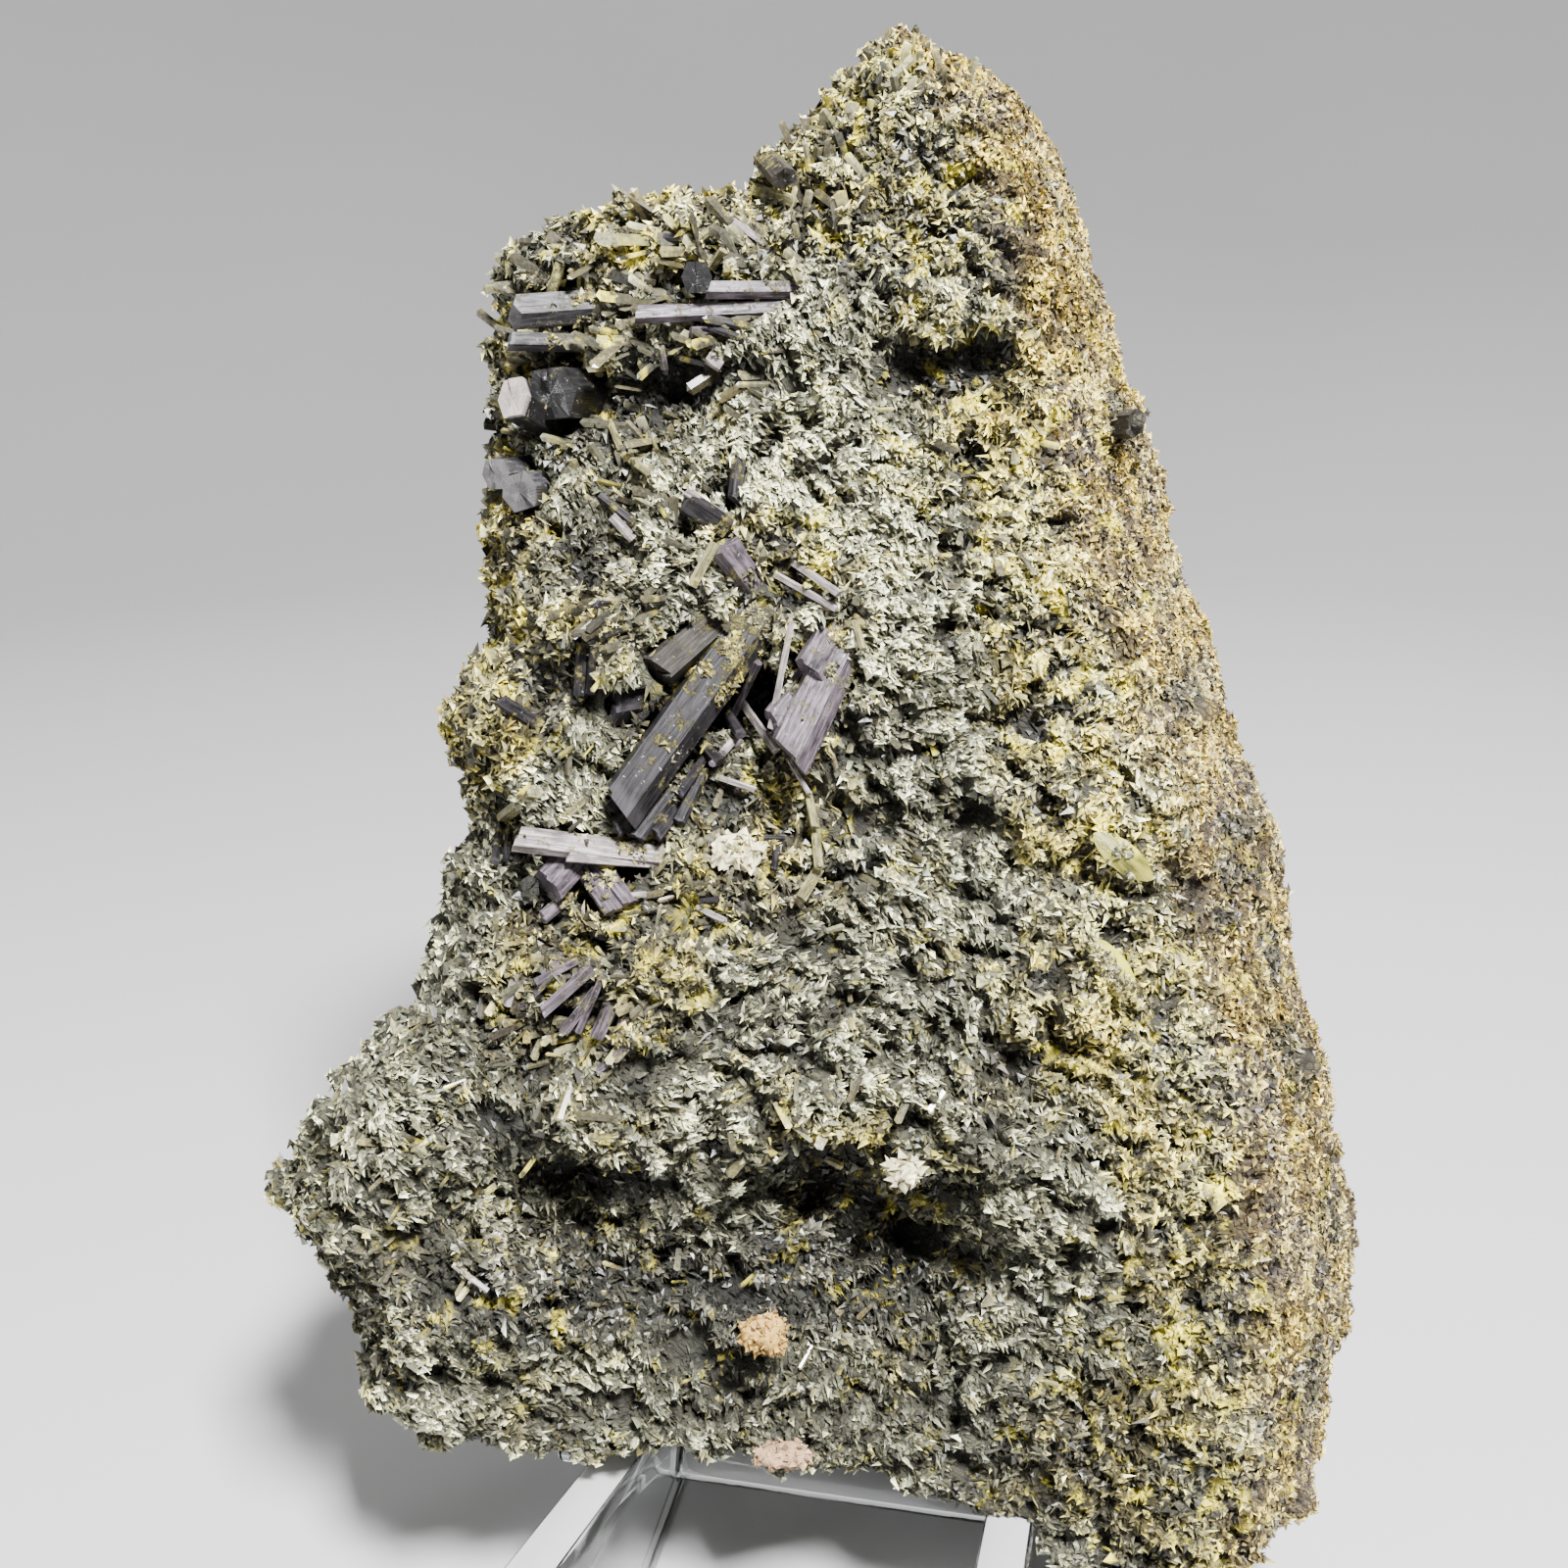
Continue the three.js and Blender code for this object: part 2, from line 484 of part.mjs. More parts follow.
function tipHeight(kind, tilt, point, width) {
  if (kind === 'wedge') return -tilt * Math.abs(point.x);
  if (kind === 'point') return -POINT_SHARE * width;
  return tilt * point.x;
}

function crystal([from, to, width, thickness, roll, grooves, tip, tilt], grow = 0) {
  const start = seen(...from);
  const end = seen(...to);
  const axis = end.clone().sub(start).normalize();
  start.addScaledVector(axis, -grow);
  end.addScaledVector(axis, grow);
  const outwards = new THREE.Vector3(0, 0, 1);
  if (Math.abs(axis.z) > 0.9) outwards.set(0, 1, 0);
  const acrossAxis = outwards.clone().cross(axis).normalize();
  acrossAxis.applyAxisAngle(axis, THREE.MathUtils.degToRad(roll));
  const depthAxis = axis.clone().cross(acrossAxis);
  const section = prismSection(width + 2 * grow, thickness + 2 * grow, grooves);
  const place = (origin, point, height) => origin.clone()
    .addScaledVector(acrossAxis, point.x)
    .addScaledVector(depthAxis, point.y)
    .addScaledVector(axis, height);
  const count = section.length;
  const points = section.map((point) => place(start, point, 0));
  points.push(...section.map((point) => place(end, point, tipHeight(tip, tilt, point, width))));
  points.push(start, end);
  const triangles = [];
  for (let side = 0; side < count; side++) {
    const next = (side + 1) % count;
    triangles.push([side, next, count + next], [side, count + next, count + side]);
    triangles.push([2 * count, next, side], [2 * count + 1, count + side, count + next]);
  }
  return indexedGeometry(points, triangles);
}

// A rounded, uneven lump.
function lump([x, y, z, radiusX, radiusY, radiusZ], grow = 0) {
  const ball = new THREE.IcosahedronGeometry(1, 0);
  const centre = seen(x, y, z);
  const position = ball.attributes.position;
  for (let index = 0; index < position.count; index++) {
    const point = new THREE.Vector3().fromBufferAttribute(position, index);
    const uneven = 1 + LUMP_UNEVENNESS * smoothNoise(point.clone().add(centre), LUMP_CELL);
    point.multiply(new THREE.Vector3(radiusX + grow, radiusY + grow, radiusZ + grow));
    point.multiplyScalar(uneven);
    position.setXYZ(index, ...point.add(centre).toArray());
  }
  return ball;
}

// A flat lens-shaped crystal with a sharp rim, pointed at both ends.
function lens([[x, y, z], length, width, thickness, turn], grow = 0) {
  const centre = seen(x, y, z);
  const points = [];
  for (let step = 0; step < LENS_RIM_STEPS; step++) {
    const angle = (2 * Math.PI * step) / LENS_RIM_STEPS;
    const along = Math.cos(angle) * (length / 2 + grow);
    const across = Math.sin(angle) * Math.abs(Math.sin(angle)) ** 0.3 * (width / 2 + grow);
    points.push(new THREE.Vector3(along, across, -0.2 * across));
  }
  points.push(new THREE.Vector3(0, 0, thickness / 2 + grow));
  points.push(new THREE.Vector3(0, 0, -thickness / 2 - grow));
  const triangles = [];
  for (let step = 0; step < LENS_RIM_STEPS; step++) {
    const next = (step + 1) % LENS_RIM_STEPS;
    triangles.push([step, next, LENS_RIM_STEPS], [next, step, LENS_RIM_STEPS + 1]);
  }
  const turned = new THREE.Matrix4().makeRotationZ(THREE.MathUtils.degToRad(turn)).setPosition(centre);
  return indexedGeometry(points, triangles).applyMatrix4(turned);
}

// A thin blade with a rhombic section and one sharp tip.
function blade([from, to, width]) {
  const start = seen(...from);
  const end = seen(...to);
  const axis = end.clone().sub(start).normalize();
  const flat = new THREE.Vector3(0.4, 0.3, 1).cross(axis).setLength(width / 2);
  const edge = axis.clone().cross(flat).multiplyScalar(BLADE_THINNESS);
  const corners = [flat, edge, flat.clone().negate(), edge.clone().negate()];
  const shoulder = start.clone().lerp(end, BLADE_SHOULDER);
  const points = [start, shoulder].flatMap((middle) => corners.map((corner) => middle.clone().add(corner)));
  points.push(end);
  const triangles = [[0, 2, 1], [0, 3, 2]];
  for (let side = 0; side < 4; side++) {
    const next = (side + 1) % 4;
    triangles.push([side, next, 4 + next], [side, 4 + next, 4 + side], [4 + side, 4 + next, 8]);
  }
  return indexedGeometry(points, triangles);
}

function driftBlades() {
  const random = seededRandom(7);
  const blades = [];
  BLADE_DRIFTS.forEach(([x, y, reachX, reachY, direction, count]) => {
    for (let index = 0; index < count; index++) {
      const baseX = x + reachX * (2 * random() - 1);
      const baseY = y + reachY * (2 * random() - 1);
      const angle = THREE.MathUtils.degToRad(direction + 50 * (random() - 0.5));
      const length = DRIFT_BLADE_LENGTH * (0.8 + 0.6 * random());
      const tipX = baseX + Math.cos(angle) * length;
      const tipY = baseY + Math.sin(angle) * length;
      const surface = frontDepth(baseX, baseY);
      const width = DRIFT_BLADE_WIDTH * (0.7 + 0.6 * random());
      blades.push(blade([[baseX, baseY, surface - 2], [tipX, tipY, surface + 1.6], width]));
    }
  });
  return blades;
}

const groupSolid = ({ crystals, roots }) => join([
  ...crystals.map((entry) => crystal(entry)),
  ...roots.map((entry) => lump(entry)),
]);

// The space that a group takes in the matrix, with plain faces where the crystals have grooves.
const groupPocket = ({ crystals, roots }) => join([
  ...crystals.map(([from, to, width, thickness, roll, , tip, tilt]) => (
    crystal([from, to, width, thickness, roll, 0, tip, tilt], GAP)
  )),
  ...roots.map((entry) => lump(entry, GAP)),
]);

// Stand

// Side view of a plate: [back, up]. Grown, its seat and back rest come forward to keep a gap.
function plateOutline(grow) {
  const lean = THREE.MathUtils.degToRad(LEAN_DEGREES);
  const up = new THREE.Vector2(Math.sin(lean), Math.cos(lean));
  const forward = new THREE.Vector2(-Math.cos(lean), Math.sin(lean));
  const corner = new THREE.Vector2(...SEAT_CORNER).addScaledVector(up, grow).addScaledVector(forward, grow);
  const seatFront = corner.clone().addScaledVector(forward, SEAT_LENGTH);
  const restTop = corner.clone().addScaledVector(up, BACK_REST_LENGTH);
  const shape = new THREE.Shape();
  shape.moveTo(FOOT_FRONT, 0);
  shape.lineTo(FOOT_BACK, 0);
  shape.lineTo(FOOT_BACK, FOOT_HEIGHT);
  shape.lineTo(restTop.x + BACK_REST_TOP, restTop.y - NOSE_RADIUS);
  shape.quadraticCurveTo(restTop.x + BACK_REST_TOP, restTop.y, restTop.x + BACK_REST_TOP / 2, restTop.y);
  shape.lineTo(restTop.x, restTop.y);
  shape.lineTo(corner.x, corner.y);
  shape.lineTo(seatFront.x + NOSE_RADIUS, seatFront.y - NOSE_RADIUS * Math.tan(lean));
  shape.quadraticCurveTo(FOOT_FRONT, seatFront.y, FOOT_FRONT, seatFront.y - 2 * NOSE_RADIUS);
  shape.closePath();
  return shape;
}

function rodHole([along, up]) {
  const hole = new THREE.Path();
  hole.absarc(along, up, ROD_RADIUS + GAP, 0, 2 * Math.PI, true);
  return hole;
}

// A plate stands upright in the stand's own frame, with its outline in the y-z plane.
function plateGeometry(grow = 0) {
  const outline = plateOutline(grow);
  if (grow === 0) outline.holes.push(rodHole(FRONT_ROD_AT), rodHole(BACK_ROD_AT));
  const thickness = SHEET + 2 * grow;
  const plate = new THREE.ExtrudeGeometry(outline, {
    depth: thickness,
    steps: 1,
    bevelEnabled: false,
    curveSegments: grow === 0 ? ROD_SIDES / 4 : 4,
  });
  plate.translate(0, 0, -thickness / 2);
  plate.rotateX(Math.PI / 2);
  plate.rotateZ(Math.PI / 2);
  return plate;
}

function rodGeometry(grow = 0) {
  const radius = ROD_RADIUS + grow;
  const rod = new THREE.CylinderGeometry(radius, radius, ROD_LENGTH + 2 * grow, ROD_SIDES);
  return rod.rotateZ(Math.PI / 2);
}

function standPlacement() {
  const turn = new THREE.Matrix4().makeRotationZ(-THREE.MathUtils.degToRad(STAND_TURN_DEGREES));
  return turn.setPosition(STAND_OFFSET_X, 0, 0);
}

function specimenPlacement() {
  const tip = new THREE.Matrix4().makeRotationX(THREE.MathUtils.degToRad(90 - LEAN_DEGREES));
  return tip.setPosition(0, 0, CENTRE_HEIGHT);
}

// The space that the stand takes in the specimen's frame, a gap wider than the stand.
function standSpace() {
  const toSpecimen = specimenPlacement().invert().multiply(standPlacement());
  const plates = [-1, 1].map((side) => (
    plateGeometry(GAP).translate((side * PLATE_SPACING) / 2, 0, 0).applyMatrix4(toSpecimen)
  ));
  const rods = [FRONT_ROD_AT, BACK_ROD_AT].map(([y, z]) => (
    rodGeometry(GAP).translate(0, y, z).applyMatrix4(toSpecimen)
  ));
  return join([...plates, ...rods]);
}

// Assembly

function finish(colour, roughness) {
  return new THREE.MeshStandardMaterial({ color: colour, roughness, metalness: 0, flatShading: true });
}

function named(name, geometry, material) {
  const mesh = new THREE.Mesh(geometry, material);
  mesh.name = name;
  return mesh;
}

const crystalGroups = {
  centre_prisms: { crystals: CENTRE_PRISMS, roots: CENTRE_ROOTS, colour: COLOURS.darkPrism },
  cross_prism: { crystals: CROSS_PRISM, roots: CROSS_ROOTS, colour: COLOURS.palePrism },
  upper_left_blocks: { crystals: UPPER_LEFT_BLOCKS, roots: UPPER_LEFT_ROOTS, colour: COLOURS.darkPrism },
  upper_long_prisms: { crystals: UPPER_LONG_PRISMS, roots: UPPER_LONG_ROOTS, colour: COLOURS.palePrism },
  barrel_crystal: { crystals: BARREL_CRYSTAL, roots: [], colour: COLOURS.hexEnd },
  left_hex_crystals: { crystals: LEFT_HEX_CRYSTALS, roots: [], colour: COLOURS.hexEnd },
};

function matrixRock() {
  const grown = [
    matrixSkin(),
    ...NAMED_BLADES.map(blade),
    ...driftBlades(),
    ...EDGE_CRYSTALS.map((entry) => crystal(entry)),
    ...STONE_LUMPS.map((entry) => lump(entry)),
  ];
  const pits = join(PITS.map((pit) => lump(pit)));
  const pockets = Object.values(crystalGroups).map(groupPocket);
  const lensPockets = Object.values(LENS_CRYSTALS).map((entry) => solid(lens(entry, GAP)));
  const cut = [pits, ...pockets, ...lensPockets, standSpace()];
  return biggestBody(cut.reduce((rest, space) => rest.subtract(space), join(grown)));
}

const specimen = new THREE.Group();
specimen.applyMatrix4(specimenPlacement());
specimen.add(named('matrix_rock', geometryOf(matrixRock()), finish(COLOURS.matrix, 0.8)));
Object.entries(crystalGroups).forEach(([name, group], index, groups) => {
  const earlier = groups.slice(0, index).map(([, other]) => groupPocket(other));
  const body = earlier.reduce((rest, space) => rest.subtract(space), groupSolid(group));
  specimen.add(named(name, geometryOf(biggestBody(body)), finish(group.colour, 0.25)));
});
Object.entries(LENS_CRYSTALS).forEach(([name, entry]) => {
  specimen.add(named(name, lens(entry), finish(COLOURS.lens, 0.35)));
});

const stand = new THREE.Group();
stand.applyMatrix4(standPlacement());
[['left', -1], ['right', 1]].forEach(([name, side]) => {
  const plate = named(`stand_plate_${name}`, plateGeometry(), finish(COLOURS.acrylic, 0.05));
  plate.position.x = (side * PLATE_SPACING) / 2;
  stand.add(plate);
});
[['front', FRONT_ROD_AT], ['back', BACK_ROD_AT]].forEach(([name, [y, z]]) => {
  const rod = named(`stand_rod_${name}`, rodGeometry(), finish(COLOURS.acrylic, 0.05));
  rod.position.set(0, y, z);
  stand.add(rod);
});

// The whole stands over its origin, at the middle of its footprint.
const cluster = new THREE.Group();
cluster.add(specimen, stand);
cluster.updateMatrixWorld(true);
const middle = new THREE.Box3().setFromObject(cluster, true).getCenter(new THREE.Vector3());
cluster.position.set(-middle.x, -middle.y, 0);

export default cluster;
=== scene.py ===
# An epidote crystal cluster on its clear stand: surfaces, light and camera, in metres.
import math
from itertools import product

import bmesh
import bpy
import numpy as np
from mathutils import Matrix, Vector
from mathutils.bvhtree import BVHTree


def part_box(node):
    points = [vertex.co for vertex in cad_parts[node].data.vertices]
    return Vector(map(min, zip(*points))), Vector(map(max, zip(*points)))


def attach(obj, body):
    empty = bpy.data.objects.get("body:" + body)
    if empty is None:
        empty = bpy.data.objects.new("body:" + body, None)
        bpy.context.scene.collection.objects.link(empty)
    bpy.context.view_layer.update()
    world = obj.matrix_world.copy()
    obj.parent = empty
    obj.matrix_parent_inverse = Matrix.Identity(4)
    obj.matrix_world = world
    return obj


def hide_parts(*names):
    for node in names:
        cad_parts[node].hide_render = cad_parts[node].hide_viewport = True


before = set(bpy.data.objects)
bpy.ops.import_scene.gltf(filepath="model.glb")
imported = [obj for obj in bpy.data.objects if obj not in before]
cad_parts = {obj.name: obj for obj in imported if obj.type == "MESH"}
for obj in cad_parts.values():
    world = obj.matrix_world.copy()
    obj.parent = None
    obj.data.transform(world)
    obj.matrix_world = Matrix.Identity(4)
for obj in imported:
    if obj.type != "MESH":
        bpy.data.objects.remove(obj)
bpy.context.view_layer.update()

# The specimen's own frame, in millimetres: x right, y up along its lean, z out of its front.
MM = 0.001
LEAN = math.radians(18)
VIEW_DISTANCE = 175.0
CENTRE_HEIGHT = 95.5
STAND_TURN = math.radians(12)
STAND_ACROSS = np.array([math.cos(STAND_TURN), -math.sin(STAND_TURN), 0])
STAND_OFFSET_X = 5.45
FRONT_ROD_BACK = 4.4

rod_low, rod_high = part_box("stand_rod_front")
rod_middle = (rod_low + rod_high) / 2
specimen_origin = Vector((
    rod_middle.x - MM * (STAND_OFFSET_X + FRONT_ROD_BACK * math.sin(STAND_TURN)),
    rod_middle.y - MM * FRONT_ROD_BACK * math.cos(STAND_TURN),
    MM * CENTRE_HEIGHT,
))
SPECIMEN_AXES = np.array([
    [1, 0, 0],
    [0, math.sin(LEAN), math.cos(LEAN)],
    [0, -math.cos(LEAN), math.sin(LEAN)],
])


def to_world(points):
    return np.asarray(points, float) @ SPECIMEN_AXES * MM + np.array(specimen_origin)


def to_specimen(points):
    return (np.asarray(points, float) - np.array(specimen_origin)) @ SPECIMEN_AXES.T / MM


def seen(x, y, z):
    """The point that looks to be at x, y from the front and lies at depth z."""
    scale = (VIEW_DISTANCE - z) / VIEW_DISTANCE
    return np.array([x * scale, y * scale, z])


def as_seen(points):
    """Where points of the specimen look to be from the front."""
    scale = VIEW_DISTANCE / (VIEW_DISTANCE - points[:, 2])
    return points[:, :2] * scale[:, None]


# Camera, as the specimen was laid out for it.
camera_data = bpy.data.cameras.new("Camera")
camera_data.sensor_width = 36
camera_data.lens = 39.375
camera_data.clip_start = 0.005
camera_data.clip_end = 20
camera = bpy.data.objects.new("Camera", camera_data)
camera.location = to_world([[0, 0, VIEW_DISTANCE]])[0]
camera.rotation_euler = (math.pi / 2 - LEAN, 0, 0)
bpy.context.scene.collection.objects.link(camera)
bpy.context.scene.camera = camera


# Number helpers

def lattice(i, j, k, seed):
    """A fixed random number from 0 to 1 for each whole-number corner. The large numbers scatter bits."""
    mixed = (i * 374761393 + j * 668265263 + k * 2147483647 + seed * 97471157) & 0xFFFFFFFF
    mixed = ((mixed ^ (mixed >> 13)) * 1274126177) & 0xFFFFFFFF
    return ((mixed ^ (mixed >> 16)) & 0xFFFFFF) / 0xFFFFFF


def smooth_noise(points, cell, seed):
    """Smooth noise from -1 to 1 with one value for each cell corner."""
    at = points / cell
    corner = np.floor(at)
    part = at - corner
    part = part * part * (3 - 2 * part)
    i, j, k = corner.T.astype(np.int64)
    total = 0
    for dx, dy, dz in product((0, 1), repeat=3):
        weight = (
            np.where(dx, part[:, 0], 1 - part[:, 0])
            * np.where(dy, part[:, 1], 1 - part[:, 1])
            * np.where(dz, part[:, 2], 1 - part[:, 2])
        )
        total = total + weight * lattice(i + dx, j + dy, k + dz, seed)
    return 2 * total - 1


def noises(points, *layers):
    """A sum of smooth noises, each given as its cell in millimetres, its seed and its weight."""
    return sum(smooth_noise(points, cell, seed) * weight for cell, seed, weight in layers)


def crumb_relief(points, cell, seed):
    """Rounded crumbs with creases between them: 0 in a crease, 1 on top of a crumb."""
    at = points / cell
    base = np.floor(at)
    nearest = np.full(len(points), 9.0)
    second = np.full(len(points), 9.0)
    for step in product((-1, 0, 1), repeat=3):
        corner = base + np.array(step)
        i, j, k = corner.T.astype(np.int64)
        middle = corner + np.stack([lattice(i, j, k, seed + n) for n in range(3)], axis=1)
        far = np.linalg.norm(at - middle, axis=1)
        second = np.minimum(second, np.maximum(nearest, far))
        nearest = np.minimum(nearest, far)
    return np.clip((second - nearest) * 2.2, 0, 1) ** 0.6


def smoothstep(value, low, high):
    t = np.clip((value - low) / (high - low), 0, 1)
    return t * t * (3 - 2 * t)


def unit(vectors):
    return vectors / np.maximum(np.linalg.norm(vectors, axis=-1, keepdims=True), 1e-12)


def turned(first, second, angle):
    """Directions turned from the first towards the second by their angles."""
    return first * np.cos(angle)[:, None] + second * np.sin(angle)[:, None]


# Where each finish lies on the front: x, y, reach across, reach up, strength.
FELT_PATCHES = [
    (3, 37, 8, 10, 1), (13, 16, 8, 8, 1), (16, -6, 7, 16, 1.1), (4, -18, 10, 9, 0.8), (27, -42, 8, 9, 0.9),
    (-14, 30, 9, 6, 0.8), (-19, 20, 7, 4, 0.6), (-32, -12, 6, 7, 1), (-38, -34, 13, 10, 1),
    (-10, -30, 9, 6, 0.7), (-2, -64, 20, 5, 0.8), (-24, -2, 6, 8, 0.6), (30, -57, 8, 8, 0.5),
    (6, 48, 10, 4, 0.5),
]
YELLOW_PATCHES = [
    (16, 64, 11, 16, 1.1), (-12, 57, 10, 4, 1), (-27, 24, 5, 4, 0.5), (-30, 8, 5, 9, 1.2),
    (0, 22, 6, 3, 0.7), (-3, -11, 9, 5, 0.8), (-23, -16, 7, 5, 0.9), (27, 14, 7, 36, 1),
    (37, -26, 9, 11, 0.8), (4, -36, 6, 1.6, 1.2), (38, -70, 13, 12, 0.8), (-3, 26, 6, 2, 0.8),
    (16, 34, 9, 8, 0.5), (-44, -30, 4, 4, 0.4), (-20, 41, 4, 4, 0.5), (-9, -21, 13, 8, 0.5),
    (-24, 16, 7, 12, 0.5), (42, -40, 7, 15, 1.1),
]
# Dark patches: partly dark stone, partly painted shade below the ledge, along the bottom and in the
# upper-left hollow.
DARK_AND_SHADE_PATCHES = [
    (2, -49, 22, 8, 1.1), (-22, 41, 6, 6, 0.6), (-9, 40, 6, 4, 0.8), (17, 43, 7, 4, 0.6),
    (-32, -50, 12, 8, 0.6), (-20, -25, 7, 6, 0.6), (18, 61, 4, 3, 0.6), (-2, 7, 6, 8, 0.6),
    (22, -30, 8, 6, 0.5), (-26, 28, 5, 12, 0.6), (-16, 34, 7, 4, 0.5), (-10, -55, 26, 6, 0.5),
    (24, -62, 10, 8, 0.4),
]
# Brown and dark places on the tan flank.
FLANK_PATCHES = [
    (36, 18.4, 2, 1.2, 1), (41, 8.5, 3, 3.4, 0.9), (41.4, -2, 1.4, 1, 1), (46.5, -4, 2.5, 1.8, 1),
    (44, -8, 1.8, 1.6, 1), (47.6, -9, 2, 1.4, 0.8), (46.5, -14, 2.4, 2, 0.8), (33.5, 37.5, 1.8, 3, 1.2),
    (36.6, 36, 1.4, 3.4, 1.3), (35, 29, 1.2, 2.4, 0.7), (49.5, -18, 2, 4, 0.9), (52, -28, 3, 5, 1),
    (56, -43, 2, 5, 1), (53.6, -60, 2.4, 6, 1.1), (42, -56, 4, 7, 0.6), (46, -70, 6, 6, 0.8),
    (44.6, 2.6, 1.6, 2, 0.7), (27, 62, 1.4, 3, 0.6), (39.6, 20, 1, 2, 0.6),
]
# Where the stone is lighter or darker than the rest: partly its own tone, partly painted shade in the dark
# patches below the ledge, at the bottom and in the upper left.
TONE_AND_SHADE_PATCHES = [
    (-4, -52, 24, 9, -0.3), (26, -66, 18, 12, -0.32), (-25, 38, 7, 10, -0.26), (-6, -65, 22, 5, -0.12),
    (-38, -50, 12, 9, -0.16), (-14, 42, 9, 6, -0.26), (-24, -22, 10, 9, -0.24), (16, 42, 8, 5, -0.12),
    (-25, 20, 6, 12, -0.12), (-12, 30, 6, 6, -0.08), (-8, -21, 14, 9, -0.12), (48, -30, 4, 40, -0.06),
    (3, 34, 9, 11, 0.42), (-40, -33, 12, 9, -0.13), (15, 65, 9, 8, -0.05), (15, -6, 7, 12, 0.06),
    (12, 18, 8, 8, 0.16), (42, -36, 8, 14, 0.1), (22, 30, 7, 17, 0.19), (40, -26, 8, 14, 0.04),
    (34, -4, 7, 17, 0.34), (20, -36, 12, 8, -0.1), (-10, -28, 8, 6, -0.06),
]
# Hollows in the front, dug in and painted black as shade: x, y, reach across, reach up, depth.
PITS = [
    (-22.4, 50.5, 1.8, 3.2, 4), (-20.6, 23.4, 2, 2, 3.5), (-11.5, 41, 4.2, 2.2, 4.5),
    (-14, 38.5, 3.6, 3, 2.5), (-4, 42.6, 2, 1.4, 3), (-11, 51, 3, 1, 2.5), (-4.3, 10.2, 2.4, 2.6, 4.5),
    (-8.4, 3, 2.4, 2.2, 3.5), (-6.4, -2, 2, 1.8, 4), (1.2, 19, 2.2, 1.1, 3.5), (-20.6, 11, 1.4, 2.8, 3),
    (-14, 7.4, 3, 1.4, 3), (-16.4, -9.6, 2.2, 1.2, 2.5), (-25.6, -12, 1.6, 1.8, 2.5), (-8, -14.4, 2, 1, 2),
    (7, 17.6, 1.2, 1.2, 2.5), (7, 6.6, 1.8, 1, 2.5), (6.8, 3.4, 1.4, 1.4, 2.5), (19, 61.8, 2.8, 1.2, 3),
    (16, 43, 5, 2.2, 3.5), (18.6, 34, 1.6, 2, 3), (18, 24.5, 2, 1.2, 2.5), (23.6, -28, 2.6, 1.8, 3),
    (5.5, -9.5, 2, 1.4, 2.5), (6.6, -3.6, 1.8, 1.2, 2.5), (-28, -6.6, 1, 2, 2), (-22, -40.5, 6, 1.2, 3),
    (-14.5, -41.5, 2.5, 1.2, 3), (-27.5, -36.5, 3.5, 1.6, 2.5), (-29, -34, 3, 1, 2.5),
    (2.5, -38, 3, 1.3, 4), (7.5, -38, 3, 1.2, 3), (4, -40.8, 3.5, 1.6, 2.4), (10, -43, 3, 1.3, 2.4),
    (16.5, -42, 3.4, 1.3, 2.4), (-6.5, -37, 3.5, 1, 2.5), (-14.5, -31, 1.2, 1.6, 2.5),
    (-25.6, -28.6, 1.8, 2.4, 2.5), (-9.5, -51, 4, 1, 3), (-4, -52.5, 2, 1.4, 2.5), (-22, -53, 4, 1, 2.5),
    (-8.5, -59, 4, 1.2, 2), (-4.6, -57.5, 1, 2.2, 2), (13, -34.5, 2.4, 1.4, 2.5), (18, -48, 4, 1.4, 1.5),
    (-33, -52.6, 3, 1, 2), (-36, -45, 2, 1, 2), (27, -20, 2, 1.2, 2.5), (22, -14, 1.6, 1, 2),
    (34, -15.4, 1.8, 1, 3), (20, -3, 1.6, 1, 2), (24, 14, 1.4, 1, 2), (21.6, 17.6, 2.4, 1, 2.5),
    (28.6, 27, 2, 0.8, 2), (5, 60.4, 2.6, 1, 2), (12, 66, 1.4, 1, 2), (-2, 36.6, 1, 0.9, 2),
    (2.8, 36.8, 1.4, 0.9, 2), (2.4, 33, 1, 1.4, 1.6),
]
# Height and place across of points on the ridge.
RIDGE = [(-82, 48), (-60, 50), (-30, 47), (0, 41), (20, 33.5), (50, 27), (65, 23), (77, 11.8)]


def patches(at, entries):
    total = np.zeros(len(at))
    for x, y, reach_x, reach_y, strength in entries:
        far = ((at[:, 0] - x) / reach_x) ** 2 + ((at[:, 1] - y) / reach_y) ** 2
        total += strength * np.exp(-far)
    return total


def past_ridge(at):
    """How far right of the ridge, where the tan flank begins, each seen place lies."""
    height, ridge = np.array(RIDGE).T
    return at[:, 0] - np.interp(at[:, 1], height, ridge)


